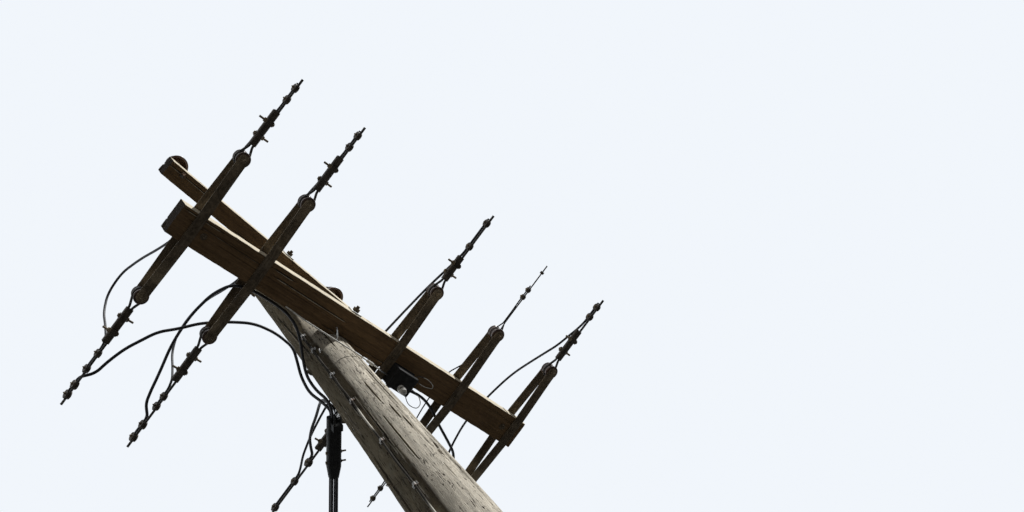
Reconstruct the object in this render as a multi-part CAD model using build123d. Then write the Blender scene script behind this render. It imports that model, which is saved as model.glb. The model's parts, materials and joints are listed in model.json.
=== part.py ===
from build123d import *
import os
from bisect import bisect
from math import acos, atan2, cos, hypot, radians, sin, tan

# A wooden utility pole with two crossarms. Millimetres. The origin is the middle of the pole at ground
# level, +Z is up, +X runs along the lower crossarm and the line runs along Y.

# Pole
POLE_HEIGHT = 9750.0
POLE_DIAMETERS = {0.0: 396.0, 0.26: 380.0, 0.51: 362.0, 0.63: 349.0, 0.68: 333.0, 0.72: 311.0, 0.76: 293.0,
                  0.84: 268.0, 1.0: 245.0}
POLE_TOP_BEVEL = 14.0
GAIN_DEPTH = 32.0

# Lower crossarm, laid flat against the near side of the pole
LOW_ARM_LENGTH = 2600.0
LOW_ARM_REACH_LEFT = 1195.0
LOW_ARM_WIDTH = 180.0
LOW_ARM_HEIGHT = 110.0
LOW_ARM_DROP = 1650.0
LOW_ARM_CORNER = 32.0

# Upper crossarm, turned a little about the pole
TOP_ARM_LENGTH = 2550.0
TOP_ARM_REACH_LEFT = 1005.0
TOP_ARM_WIDTH = 110.0
TOP_ARM_HEIGHT = 110.0
TOP_ARM_DROP = 410.0
TOP_ARM_TURN = 6.2
ARM_EDGE_BEVEL = 6.0

# King bolts that hold the crossarms to the pole
KING_BOLT_DIA = 20.0
KING_WASHER_SIDE = 70.0
KING_WASHER_THICK = 8.0
KING_NUT = (36.0, 20.0)
KING_BOLT_TAIL = 14.0
BOLT_PLAY = 1.0
SPOT_FACE_DIA = 102.0

# Bolts through the lower crossarm near its ends: flats and height of head and nut as a pair
END_BOLT_FROM_LEFT = 183.0
END_BOLT_FROM_RIGHT = 135.0
END_BOLT_DIA = 12.0
END_NUT = (19.0, 10.0)
END_BOLT_TAIL = 9.0
END_WASHER_DIA = 38.0
END_WASHER_THICK = 3.0

# Strap pairs: how far in from the left and the right end of the lower crossarm, and their flat bar
STRAPS_FROM_LEFT = {"a": 115.0, "b": 560.0}
STRAPS_FROM_RIGHT = {"c": 1060.0, "d": 545.0, "e": 60.0}
STRAP_REACH = 446.0
STRAP_WIDTH = 58.0
STRAP_THICK = 8.0
STRAP_END_FLAT = 48.0
STRAP_BOLT_DIA = 16.0
STRAP_NUT = (24.0, 11.0)
STRAP_BOLT_TAIL = 9.0

# Spool insulators between the strap ends
SPOOL_HEIGHT = 70.0
SPOOL_DIA = 86.0
SPOOL_NECK_RADIUS = 31.0
SPOOL_GROOVE_RADIUS = 8.5
SPOOL_BORE_DIA = 19.0
SPOOL_LIP = 9.0

# Line conductors and what closes their loops
CONDUCTOR_DIA = 14.0
LEG_OFFSET = 10.5
THIN_WIRE_DIA = 8.0
THIN_LEG_OFFSET = 4.6
THIN_TAIL = 205.0
CLAMP_START = 88.0
CLAMP_LENGTH = {"a": 220.0, "b": 220.0, "c": 165.0, "e": 220.0}
CLAMP_WIDTH = 42.0
CLAMP_HEIGHT = 26.0
BOSS_LENGTH = 30.0
BOSS_RISE = 10.0
CLAMP_BOLT_DIA = 12.0
CLAMP_BOLT_REACH = 66.0
CLAMP_HEAD = (19.0, 7.0)
CLAMP_NUT = (24.0, 14.0)
LEG_CORNER = 78.0
LEG_BEND = 3.0
TAIL_PAST_CLAMP = 4.0
STUB_PAST_TAP = 60.0

# Tap clamps: distances from the spool's axis out along the line, for the jumpers and for the cable cores
TAPS_NEAR = {"a": [388.0, 463.0], "b": [382.0, 458.0], "c": [330.0, 498.0], "d": [274.0, 327.0],
             "e": [417.0, 491.0]}
TAPS_FAR = {"a": [381.0, 481.0], "b": [415.0, 481.0], "c": [486.0, 674.0], "d": [274.0, 350.0],
            "e": [417.0, 480.0]}
CORE_TAPS = {"a": [587.0, 650.0], "b": [606.0, 690.0], "c": [349.0], "d": [], "e": [590.0]}
TAP_RIM = 8.0
TAP_PLATE = 11.0
TAP_BOLT_DIA = 8.0
TAP_NUT = (13.0, 6.0)
TAP_BOLT_TAIL = 6.0
TAP_GAP = 3.0
COLLAR_FROM_SPOOL = 452.0
COLLAR_DIA = 24.0
COLLAR_LENGTH = 16.0

# Insulated jumpers and riser cores
JUMPER_DIA = 14.0
CORE_DIA = 17.0
TAP_CLEAR = 46.0
FILLET_SHARE = 0.45

# Pin insulators: how far in from the left and the right end of the upper crossarm, and in front of its middle
PINS_FROM_LEFT = [100.0]
PINS_FROM_RIGHT = [1030.0, 300.0]
PIN_FORWARD = 22.0
PIN_DIA = 22.0
PIN_SHOULDER_DIA = 46.0
PIN_SHOULDER_THICK = 8.0
PIN_NUT = (32.0, 18.0)
PIN_THREAD = 20.0
PIN_SOCKET = 60.0
INSULATOR_DIA = 160.0
INSULATOR_HEIGHT = 150.0
INSULATOR_LIFT = 70.0

# Strain clamp of the bundled cable, and the screw hook that carries it
STRAIN_X = 98.0
STRAIN_Y = 219.0
STRAIN_DROP = 300.0
STRAIN_TURN = 52.0
STRAIN_LENGTH = 370.0
STRAIN_WIDTH = 78.0
STRAIN_HEIGHT = 60.0
STRAIN_CORNER = 18.0
STRAIN_TAPER = 70.0
STRAIN_MOUTH_WIDTH = 56.0
STRAIN_MOUTH_HEIGHT = 50.0
STRAIN_BOLT_DIA = 10.0
STRAIN_NUT = (17.0, 7.0)
STRAIN_BOLT_TAIL = 24.0
STRAIN_BOLT_PLACES = [215.0, 275.0]
CORE_SPACING = 28.0
BUNDLE_STUB = 250.0
CORE_LEAD = 35.0
BAIL_DIA = 10.0
BAIL_LEG = 18.0
BAIL_REACH = 45.0
HOOK_DROP = 65.0
HOOK_DIA = 16.0
HOOK_RADIUS = 26.0
HOOK_TURN = 70.0
HOOK_BITE = 110.0

# Service fuse box under the lower crossarm
BOX_PAST_STRAP = 105.0
BOX_LENGTH = 150.0
BOX_DEPTH = 120.0
BOX_Y = -110.0
BOX_HEIGHT = 92.0
BOX_PLATE = 6.0
FUSE_Y = -78.0
FUSE_DIA = 44.0
FUSE_LENGTH = 66.0
FUSE_WIRE_DIA = 5.0
FUSE_WIRE = [(0, 0, -0.6), (0, 4, -24), (24, 26, -32), (62, 43, -14), (104, 47, -4), (150, 41, 19),
             (170, 13, 49), (148, -14, 84), (112, -20, 108), (76, -22, 116)]
SPARE_WIRE = [(77, -64, 140), (108, -104, 152), (178, -116, 156), (232, -100, 156), (240, -82, 156),
              (197, -67, 156), (137, -66, 154), (98, -76, 150)]

# Thin lead that hangs in a loop under the crossarm, in front of the pole, up to the fuse box
LEAD_DIA = 8.0
LEAD_ROUTE = [(-395.0, -112.0, -4.5), (-345.0, -110.0, -9.0), (-300.0, -115.3, -85.0),
              (-235.0, -128.8, -185.0), (-150.0, -141.0, -270.0), (-50.0, -149.0, -324.0),
              (150.0, -135.0, -278.0), (215.0, -121.3, -205.0), (275.0, -107.9, -125.0),
              (330.0, -96.2, -55.0)]
LEAD_END_GAP = 0.8
LEAD_SLEEVE_DIA = 18.0
LEAD_SLEEVE_SPAN = (0.52, 0.76)

# Thin cable down the side of the pole and its clips
POLE_CABLE_DIA = 11.0
CLIPS_FROM_ARM = [105.0, -100.0, -451.0, -790.0, -1261.0, -1718.0]
CLIP_SPACING = 430.0
CLIP_LENGTH = 26.0
CLIP_BAND = 3.0
CABLE_PLAY = 0.6
CABLE_BOW = 10.0
CLIP_RUN = 42.0
CABLE_FOOT = 140.0


def pole_radius(z):
    """Half the pole's diameter at a height."""
    shares = list(POLE_DIAMETERS)
    share = z / POLE_HEIGHT
    here = min(bisect(shares, share), len(shares) - 1)
    low, high = shares[here - 1], shares[here]
    part = (share - low) / (high - low)
    return (POLE_DIAMETERS[low] + (POLE_DIAMETERS[high] - POLE_DIAMETERS[low]) * part) / 2


LOW_ARM_BOTTOM = POLE_HEIGHT - LOW_ARM_DROP
TOP_ARM_BOTTOM = POLE_HEIGHT - TOP_ARM_DROP
LOW_ARM_MID_Z = LOW_ARM_BOTTOM + LOW_ARM_HEIGHT / 2
TOP_ARM_MID_Z = TOP_ARM_BOTTOM + TOP_ARM_HEIGHT / 2
LOW_ARM_BACK = -(pole_radius(LOW_ARM_MID_Z) - GAIN_DEPTH)
LOW_ARM_Y = LOW_ARM_BACK - LOW_ARM_WIDTH / 2
TOP_ARM_BACK = -(pole_radius(TOP_ARM_MID_Z) - GAIN_DEPTH)
TOP_ARM_Y = TOP_ARM_BACK - TOP_ARM_WIDTH / 2
CONDUCTOR_RADIUS = CONDUCTOR_DIA / 2
TOP_TURN = Rot(0, 0, TOP_ARM_TURN)
LOW_ARM_RIGHT = LOW_ARM_LENGTH - LOW_ARM_REACH_LEFT
TOP_ARM_RIGHT = TOP_ARM_LENGTH - TOP_ARM_REACH_LEFT
STRAP_X = {name: inset - LOW_ARM_REACH_LEFT for name, inset in STRAPS_FROM_LEFT.items()}
STRAP_X.update({name: LOW_ARM_RIGHT - inset for name, inset in STRAPS_FROM_RIGHT.items()})
END_BOLT_X = [END_BOLT_FROM_LEFT - LOW_ARM_REACH_LEFT, LOW_ARM_RIGHT - END_BOLT_FROM_RIGHT]
PIN_X = [inset - TOP_ARM_REACH_LEFT for inset in PINS_FROM_LEFT]
PIN_X += [TOP_ARM_RIGHT - inset for inset in PINS_FROM_RIGHT]
PIN_Y = TOP_ARM_Y - PIN_FORWARD
STRAIN_START = (STRAIN_X, STRAIN_Y, LOW_ARM_BOTTOM - STRAIN_DROP)
HOOK_Z = LOW_ARM_BOTTOM - STRAIN_DROP - HOOK_DROP
BOX_X = STRAP_X["c"] + BOX_PAST_STRAP


def write(name, shape):
    """Save one named sub-part."""
    export_step(shape, "parts/" + name + ".step")


def block(x0, x1, y0, y1, z0, z1):
    """A box between two corners."""
    middle = ((x0 + x1) / 2, (y0 + y1) / 2, (z0 + z1) / 2)
    return Pos(*middle) * Box(x1 - x0, y1 - y0, z1 - z0)


def rod(start, direction, diameter, length):
    """A round bar from a point along a direction."""
    return extrude(Plane(start, z_dir=direction) * Circle(diameter / 2), length)


def hexagon(start, direction, flats, height):
    """A hexagonal nut or bolt head that rises from a point along a direction."""
    return extrude(Plane(start, z_dir=direction) * RegularPolygon(flats / 2, 6, major_radius=False), height)


def bolt(seat, direction, diameter, grip, head, nut, tail):
    """A bolt whose head stands on a seat, with its nut at the far end of the grip."""
    seat = Vector(*seat)
    direction = Vector(*direction).normalized()
    shank = rod(seat, direction, diameter, grip + nut[1] + tail)
    return shank + hexagon(seat, -direction, *head) + hexagon(seat + direction * grip, direction, *nut)


def smooth_route(points):
    """Straight runs joined by arcs as large as the runs allow, with straight ends inside the clamps."""
    points = [Vector(*p) for p in points]
    reaches = []
    turns = []
    for before, here, after in zip(points, points[1:], points[2:]):
        reaches.append(FILLET_SHARE * min((here - before).length, (after - here).length))
        turns.append(radians((here - before).get_angle(after - here)))
    for end in [0, -1]:
        reaches[end] = min(reaches[end], TAP_CLEAR / 2)
    return FilletPolyline(*points, radius=[reach / tan(turn / 2) for reach, turn in zip(reaches, turns)])


def tube(points, diameter):
    """A round cable along a smooth route."""
    route = smooth_route(points)
    start = Plane(route @ 0, z_dir=route % 0)
    return sweep(start * Circle(diameter / 2), path=route)


# Timber

def make_pole():
    """The tapered shaft, with a flat gain for each crossarm and a hole for each king bolt."""
    profile = [(diameter / 2, share * POLE_HEIGHT) for share, diameter in POLE_DIAMETERS.items()]
    outline = Polyline((0, 0), *profile, (0, POLE_HEIGHT), close=True)
    shaft = revolve(Plane.XZ * make_face(outline), Axis.Z)
    shaft = chamfer(shaft.faces().sort_by(Axis.Z)[-1].edges(), POLE_TOP_BEVEL)
    reach = 2 * pole_radius(0)
    low_gain = block(-reach, reach, -reach, LOW_ARM_BACK, LOW_ARM_BOTTOM, LOW_ARM_BOTTOM + LOW_ARM_HEIGHT)
    top_gain = TOP_TURN * block(-reach, reach, -reach, TOP_ARM_BACK, TOP_ARM_BOTTOM,
                                TOP_ARM_BOTTOM + TOP_ARM_HEIGHT)
    shaft -= [low_gain, top_gain]
    for z, turn in [(LOW_ARM_MID_Z, Rot(0, 0, 0)), (TOP_ARM_MID_Z, TOP_TURN)]:
        hole = rod((0, -reach, z), (0, 1, 0), KING_BOLT_DIA + BOLT_PLAY, 2 * reach)
        spot = rod((0, washer_seat(z), z), (0, 1, 0), SPOT_FACE_DIA, reach)
        shaft -= [turn * hole, turn * spot]
    socket = rod((0, pole_radius(HOOK_Z) - HOOK_BITE, 0), (0, 1, 0), HOOK_DIA, reach)
    return shaft - hook_place() * socket


def washer_seat(z):
    """How far behind the pole's axis the flat for the king bolt's rear washer lies."""
    return pole_radius(z) - (SPOT_FACE_DIA / 2) ** 2 / (2 * pole_radius(z)) - BOLT_PLAY


def make_low_arm():
    """The lower crossarm, bored for its king bolt and for each strap pair's middle bolt."""
    front = LOW_ARM_BACK - LOW_ARM_WIDTH
    top = LOW_ARM_BOTTOM + LOW_ARM_HEIGHT
    arm = block(-LOW_ARM_REACH_LEFT, LOW_ARM_RIGHT, front, LOW_ARM_BACK, LOW_ARM_BOTTOM, top)
    arm = chamfer(arm.edges().filter_by(Axis.X), ARM_EDGE_BEVEL)
    corner = arm.edges().filter_by(Axis.Z).group_by(Axis.X)[0].sort_by(Axis.Y)[-1]
    arm = chamfer(corner, LOW_ARM_CORNER)
    arm -= rod((0, front, LOW_ARM_MID_Z), (0, 1, 0), KING_BOLT_DIA + BOLT_PLAY, LOW_ARM_WIDTH)
    for x in STRAP_X.values():
        arm -= rod((x, LOW_ARM_Y, LOW_ARM_BOTTOM), (0, 0, 1), STRAP_BOLT_DIA + BOLT_PLAY, LOW_ARM_HEIGHT)
    for x in END_BOLT_X:
        arm -= rod((x, LOW_ARM_Y, LOW_ARM_BOTTOM), (0, 0, 1), END_BOLT_DIA + BOLT_PLAY, LOW_ARM_HEIGHT)
    return arm


def make_top_arm():
    """The upper crossarm, bored for its king bolt and for the insulator pins."""
    front = TOP_ARM_BACK - TOP_ARM_WIDTH
    top = TOP_ARM_BOTTOM + TOP_ARM_HEIGHT
    arm = block(-TOP_ARM_REACH_LEFT, TOP_ARM_RIGHT, front, TOP_ARM_BACK, TOP_ARM_BOTTOM, top)
    arm = chamfer(arm.edges().filter_by(Axis.X), ARM_EDGE_BEVEL)
    arm -= rod((0, front, TOP_ARM_MID_Z), (0, 1, 0), KING_BOLT_DIA + BOLT_PLAY, TOP_ARM_WIDTH)
    for x in PIN_X:
        arm -= rod((x, PIN_Y, TOP_ARM_BOTTOM), (0, 0, 1), PIN_DIA, TOP_ARM_HEIGHT)
    return TOP_TURN * arm


# King bolts

def king_set(front, z):
    """One king bolt with its nut, and the square washers at both ends."""
    seat = washer_seat(z)
    bolt_start = (0, seat + KING_WASHER_THICK, z)
    grip = seat - front + 2 * KING_WASHER_THICK
    king = bolt(bolt_start, (0, -1, 0), KING_BOLT_DIA, grip, KING_NUT, KING_NUT, KING_BOLT_TAIL)
    half = KING_WASHER_SIDE / 2
    washers = []
    for y in [front - KING_WASHER_THICK, seat]:
        plate = block(-half, half, y, y + KING_WASHER_THICK, z - half, z + half)
        washers.append(plate - rod((0, y, z), (0, 1, 0), KING_BOLT_DIA, KING_WASHER_THICK))
    return king, washers


def make_king_bolts():
    """Bolts and washers of both crossarms."""
    low_bolt, low_washers = king_set(LOW_ARM_BACK - LOW_ARM_WIDTH, LOW_ARM_MID_Z)
    top_bolt, top_washers = king_set(TOP_ARM_BACK - TOP_ARM_WIDTH, TOP_ARM_MID_Z)
    write("king_bolts", Compound([low_bolt, TOP_TURN * top_bolt]))
    write("king_washers", Compound(low_washers + [TOP_TURN * w for w in top_washers]))


def make_end_bolts():
    """The upright bolts that hold the lower crossarm's ends together, each with its two round washers."""
    top = LOW_ARM_BOTTOM + LOW_ARM_HEIGHT
    grip = LOW_ARM_HEIGHT + 2 * END_WASHER_THICK
    bolts = []
    for x in END_BOLT_X:
        piece = bolt((x, LOW_ARM_Y, top + END_WASHER_THICK), (0, 0, -1), END_BOLT_DIA, grip, END_NUT, END_NUT,
                     END_BOLT_TAIL)
        for z in [top, LOW_ARM_BOTTOM - END_WASHER_THICK]:
            piece += rod((x, LOW_ARM_Y, z), (0, 0, 1), END_WASHER_DIA, END_WASHER_THICK)
        bolts.append(piece)
    write("arm_end_bolts", Compound(bolts))


# Straps and spool insulators

SPOOL_Z = LOW_ARM_MID_Z
STRAP_END_GAP = SPOOL_HEIGHT / 2
STRAP_ARM_GAP = LOW_ARM_HEIGHT / 2


def make_strap(x, side):
    """One bent bar: flat on the crossarm, sloped towards its partner, flat again at each spool."""
    middle = STRAP_THICK / 2
    end = STRAP_REACH + STRAP_WIDTH / 2
    half_profile = [(LOW_ARM_WIDTH / 2, STRAP_ARM_GAP + middle),
                    (STRAP_REACH - STRAP_END_FLAT, STRAP_END_GAP + middle), (end, STRAP_END_GAP + middle)]
    line = [(-y, z) for y, z in reversed(half_profile)] + half_profile
    profile = trace(Polyline(*line), STRAP_THICK)
    bar = extrude(Plane.YZ * profile, STRAP_WIDTH / 2, both=True)
    plan = SlotCenterToCenter(2 * STRAP_REACH, STRAP_WIDTH, rotation=90)
    bar = bar & extrude(plan, 2 * LOW_ARM_HEIGHT)
    for y, diameter in [(-STRAP_REACH, STRAP_BOLT_DIA), (0, STRAP_BOLT_DIA), (STRAP_REACH, STRAP_BOLT_DIA)]:
        bar -= rod((0, y, 0), (0, 0, 1), diameter, 2 * LOW_ARM_HEIGHT)
    if side < 0:
        bar = mirror(bar, Plane.XY)
    return Pos(x, LOW_ARM_Y, SPOOL_Z) * bar


def spool_outline():
    """Half of a spool insulator's section: bored, lipped at both ends and grooved in the middle."""
    half = SPOOL_HEIGHT / 2
    rim = SPOOL_DIA / 2
    groove_top = SPOOL_GROOVE_RADIUS
    flare = SPOOL_NECK_RADIUS + SPOOL_GROOVE_RADIUS
    upper = Line((SPOOL_BORE_DIA / 2, half), (rim - SPOOL_LIP / 3, half))
    lip = ThreePointArc((rim - SPOOL_LIP / 3, half), (rim, half - SPOOL_LIP / 2),
                        (rim - SPOOL_LIP / 3, half - SPOOL_LIP))
    slope = Line((rim - SPOOL_LIP / 3, half - SPOOL_LIP), (flare, groove_top))
    groove = ThreePointArc((flare, groove_top), (SPOOL_NECK_RADIUS, 0), (flare, -groove_top))
    slope_low = Line((flare, -groove_top), (rim - SPOOL_LIP / 3, SPOOL_LIP - half))
    lip_low = ThreePointArc((rim - SPOOL_LIP / 3, SPOOL_LIP - half), (rim, SPOOL_LIP / 2 - half),
                            (rim - SPOOL_LIP / 3, -half))
    lower = Line((rim - SPOOL_LIP / 3, -half), (SPOOL_BORE_DIA / 2, -half))
    bore = Line((SPOOL_BORE_DIA / 2, -half), (SPOOL_BORE_DIA / 2, half))
    return make_face([upper, lip, slope, groove, slope_low, lip_low, lower, bore])


def spool_places(x):
    """The two spool axes of one strap pair: near end first."""
    return [(x, LOW_ARM_Y - STRAP_REACH), (x, LOW_ARM_Y + STRAP_REACH)]


def make_strap_pairs():
    """Straps, spools and their bolts for each place on the crossarm."""
    spool = revolve(Plane.XZ * spool_outline(), Axis.Z)
    bolts = []
    for name, x in STRAP_X.items():
        write("straps_" + name, Compound([make_strap(x, 1), make_strap(x, -1)]))
        write("spools_" + name, Compound([Pos(px, py, SPOOL_Z) * spool for px, py in spool_places(x)]))
        for px, py in spool_places(x):
            top = SPOOL_Z + STRAP_END_GAP + STRAP_THICK
            grip = 2 * (STRAP_END_GAP + STRAP_THICK)
            bolts.append(bolt((px, py, top), (0, 0, -1), STRAP_BOLT_DIA, grip, STRAP_NUT, STRAP_NUT,
                              STRAP_BOLT_TAIL))
        top = SPOOL_Z + STRAP_ARM_GAP + STRAP_THICK
        grip = 2 * (STRAP_ARM_GAP + STRAP_THICK)
        bolts.append(bolt((x, LOW_ARM_Y, top), (0, 0, -1), STRAP_BOLT_DIA, grip, STRAP_NUT, STRAP_NUT,
                          STRAP_BOLT_TAIL))
    write("strap_bolts", Compound(bolts))


# Line conductors, dead-end clamps and tap clamps, drawn with the line leaving along +Y

def loop_wire(diameter, leg_offset, clamp_end, stub_end):
    """A conductor that comes in along the line, rounds the spool and ends beside itself."""
    centre_radius = SPOOL_NECK_RADIUS + diameter / 2
    leg_end = (leg_offset, LEG_CORNER)
    distance = hypot(*leg_end)
    angle = atan2(leg_end[1], leg_end[0]) - acos(centre_radius / distance)
    touch = (centre_radius * cos(angle), centre_radius * sin(angle))
    leg = FilletPolyline((leg_offset, stub_end, 0), (*leg_end, 0), (*touch, 0), radius=LEG_BEND * diameter)
    bend = ThreePointArc((*touch, 0), (0, -centre_radius, 0), (-touch[0], touch[1], 0))
    tail = FilletPolyline((-touch[0], touch[1], 0), (-leg_offset, leg_end[1], 0), (-leg_offset, clamp_end, 0),
                          radius=LEG_BEND * diameter)
    path = leg + bend + tail
    return sweep(Plane((leg_offset, stub_end, 0), z_dir=(0, -1, 0)) * Circle(diameter / 2), path=path)


def deadend_clamp(length):
    """A long clamp body on both legs of the loop, with a boss for each cross bolt."""
    half = CLAMP_WIDTH / 2
    body = block(-half, half, CLAMP_START, CLAMP_START + length, -CLAMP_HEIGHT / 2, CLAMP_HEIGHT / 2)
    body = chamfer(body.edges().filter_by(Axis.Y), CLAMP_HEIGHT / 5)
    for y, side in clamp_bolt_places(length):
        low, high = sorted([0, side * (CLAMP_HEIGHT / 2 + BOSS_RISE)])
        boss = block(-half, half, y - BOSS_LENGTH / 2, y + BOSS_LENGTH / 2, low, high)
        body += boss
    for x in [-LEG_OFFSET, LEG_OFFSET]:
        body -= rod((x, CLAMP_START, 0), (0, 1, 0), CONDUCTOR_DIA, length)
    for y, side in clamp_bolt_places(length):
        body -= rod((-half, y, side * clamp_bolt_height()), (1, 0, 0), CLAMP_BOLT_DIA, CLAMP_WIDTH)
    return body


def clamp_bolt_places(length):
    """Distance out along the clamp, and which way each cross bolt's thread points."""
    return [(CLAMP_START + length * 0.28, 1), (CLAMP_START + length * 0.68, -1)]


def clamp_bolt_height():
    """The cross bolts pass just above or below the conductors."""
    return CONDUCTOR_RADIUS + CLAMP_BOLT_DIA / 2 + BOLT_PLAY


def clamp_bolts(length):
    """The two cross bolts of a dead-end clamp."""
    half = CLAMP_WIDTH / 2
    bolts = []
    for y, side in clamp_bolt_places(length):
        seat = (-side * half, y, side * clamp_bolt_height())
        tail = CLAMP_BOLT_REACH - half - CLAMP_NUT[1]
        bolts.append(bolt(seat, (side, 0, 0), CLAMP_BOLT_DIA, CLAMP_WIDTH, CLAMP_HEAD, CLAMP_NUT, tail))
    return bolts


def tap_half(conductor, branch):
    """Half the thickness of a tap clamp."""
    return max(conductor, branch) / 2 + TAP_PLATE / 2


def tap_spacing(conductor, branch):
    """How far above the conductor a tap clamp holds the branch, with its bolt between the two."""
    return (conductor + branch) / 2 + TAP_BOLT_DIA + BOLT_PLAY


def tap_clamp(x, y, conductor, branch):
    """Two round plates that grip the conductor and the branch above it, and the bolt between the two."""
    half = tap_half(conductor, branch)
    rise = tap_spacing(conductor, branch)
    middle = rise / 2 + (conductor - branch) / 4
    diameter = conductor + branch + 2 * TAP_RIM
    body = rod((-half, 0, middle), (1, 0, 0), diameter, 2 * half)
    body -= rod((0, -diameter, 0), (0, 1, 0), conductor, 2 * diameter)
    body -= rod((0, -diameter, rise), (0, 1, 0), branch, 2 * diameter)
    body -= Pos(0, 0, middle) * Box(TAP_GAP, 2 * diameter, 2 * diameter)
    body -= rod((-half, 0, middle), (1, 0, 0), TAP_BOLT_DIA, 2 * half)
    pin = bolt((half, 0, middle), (-1, 0, 0), TAP_BOLT_DIA, 2 * half, TAP_NUT, TAP_NUT, TAP_BOLT_TAIL)
    place = Pos(x, y, 0)
    return [place * plate for plate in body.solids()], place * pin


def line_wire(name):
    """The diameter of a circuit's line conductor, and how far beside the strap's middle it runs."""
    return (CONDUCTOR_DIA, LEG_OFFSET) if name in CLAMP_LENGTH else (THIN_WIRE_DIA, THIN_LEG_OFFSET)


def mirrored(shape, side):
    """The near ends are the far ends seen in a mirror across the crossarm."""
    return shape if side > 0 else mirror(shape, Plane.XZ)


def make_line_ends():
    """Conductor stubs, clamps and taps at the ten line ends."""
    conductors = {-1: [], 1: []}
    taps = {-1: [], 1: []}
    tap_bolts = []
    bodies = {name: [] for name in CLAMP_LENGTH}
    cross_bolts = []
    for side, jumper_taps in [(-1, TAPS_NEAR), (1, TAPS_FAR)]:
        for name, x in STRAP_X.items():
            place = Pos(x, LOW_ARM_Y + side * STRAP_REACH, SPOOL_Z)
            diameter, leg_offset = line_wire(name)
            thick = name in CLAMP_LENGTH
            places = [(y, JUMPER_DIA if thick else diameter) for y in jumper_taps[name]]
            places += [(y, CORE_DIA) for y in CORE_TAPS[name] if side > 0]
            stub_end = max(y for y, branch in places) + STUB_PAST_TAP
            tail_end = CLAMP_START + TAIL_PAST_CLAMP + CLAMP_LENGTH[name] if thick else THIN_TAIL
            if side < 0 and not thick:
                stub_end = COLLAR_FROM_SPOOL + STUB_PAST_TAP
                collar = rod((leg_offset, COLLAR_FROM_SPOOL, 0), (0, 1, 0), COLLAR_DIA, COLLAR_LENGTH)
                collar -= rod((leg_offset, COLLAR_FROM_SPOOL, 0), (0, 1, 0), diameter, COLLAR_LENGTH)
                taps[side].append(place * mirrored(collar, side))
            wire = loop_wire(diameter, leg_offset, tail_end, stub_end)
            conductors[side].append(place * mirrored(wire, side))
            for y, branch in places:
                plates, pin = tap_clamp(leg_offset, y, diameter, branch)
                taps[side] += [place * mirrored(plate, side) for plate in plates]
                tap_bolts.append(place * mirrored(pin, side))
            if thick:
                bodies[name].append(place * mirrored(deadend_clamp(CLAMP_LENGTH[name]), side))
                cross_bolts += [place * mirrored(b, side) for b in clamp_bolts(CLAMP_LENGTH[name])]
    write("conductors_near", Compound(conductors[-1]))
    write("conductors_far", Compound(conductors[1]))
    write("tap_clamps_near", Compound(taps[-1]))
    write("tap_clamps_far", Compound(taps[1]))
    write("tap_bolts", Compound(tap_bolts))
    write("clamp_bolts", Compound(cross_bolts + strain_bolts()))
    for name, pair in bodies.items():
        write("deadend_clamps_" + name, Compound(pair))


# Pin insulators

def insulator_outline():
    """Half of a pin insulator's section: a grooved head over two bell-shaped petticoats."""
    rim = INSULATOR_DIA / 2
    height = INSULATOR_HEIGHT
    socket = PIN_DIA / 2
    points = [(socket, height - PIN_SOCKET), (socket, height - PIN_SOCKET / 3), (0, height - PIN_SOCKET / 3),
              (0, height)]
    head = 0.36 * rim
    neck = 0.27 * rim
    outer = [(head, height), (head + 5, height - 8), (head, height - 18), (neck, height - 26),
             (head, height - 36), (0.55 * rim, height - 56), (0.72 * rim, height - 78),
             (0.60 * rim, height - 84), (0.78 * rim, height - 104), (rim, 0), (rim - 12, 0),
             (0.55 * rim, height - 96), (0.34 * rim, height - 88), (0.34 * rim, 0.14 * height),
             (0.26 * rim, 0.14 * height), (socket, height - PIN_SOCKET)]
    return make_face(Polyline(*(points + outer)))


def make_pin_insulators():
    """Steel pins through the upper crossarm and the porcelain on them."""
    top = TOP_ARM_BOTTOM + TOP_ARM_HEIGHT
    bell = revolve(Plane.XZ * insulator_outline(), Axis.Z)
    pins = []
    bells = []
    for x in PIN_X:
        foot = TOP_ARM_BOTTOM - PIN_NUT[1] - PIN_THREAD
        tip = top + INSULATOR_LIFT + INSULATOR_HEIGHT - PIN_SOCKET / 3
        pin = rod((x, PIN_Y, foot), (0, 0, 1), PIN_DIA, tip - foot)
        pin += rod((x, PIN_Y, top), (0, 0, 1), PIN_SHOULDER_DIA, PIN_SHOULDER_THICK)
        pin += hexagon((x, PIN_Y, TOP_ARM_BOTTOM), (0, 0, -1), *PIN_NUT)
        pins.append(TOP_TURN * pin)
        bells.append(TOP_TURN * Pos(x, PIN_Y, top + INSULATOR_LIFT) * bell)
    write("insulator_pins", Compound(pins))
    write("pin_insulators", Compound(bells))


# Jumpers and cable cores

def tap_line(name, side, taps, branch):
    """The two ends of a branch's straight stretch through its taps, outermost first."""
    conductor, leg_offset = line_wire(name)
    start = LOW_ARM_Y + side * STRAP_REACH
    z = SPOOL_Z + tap_spacing(conductor, branch)
    return [(STRAP_X[name] + leg_offset, start + side * (taps[-1] + STUB_PAST_TAP / 2), z),
            (STRAP_X[name] + leg_offset, start + side * (taps[0] - TAP_CLEAR), z)]


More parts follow.
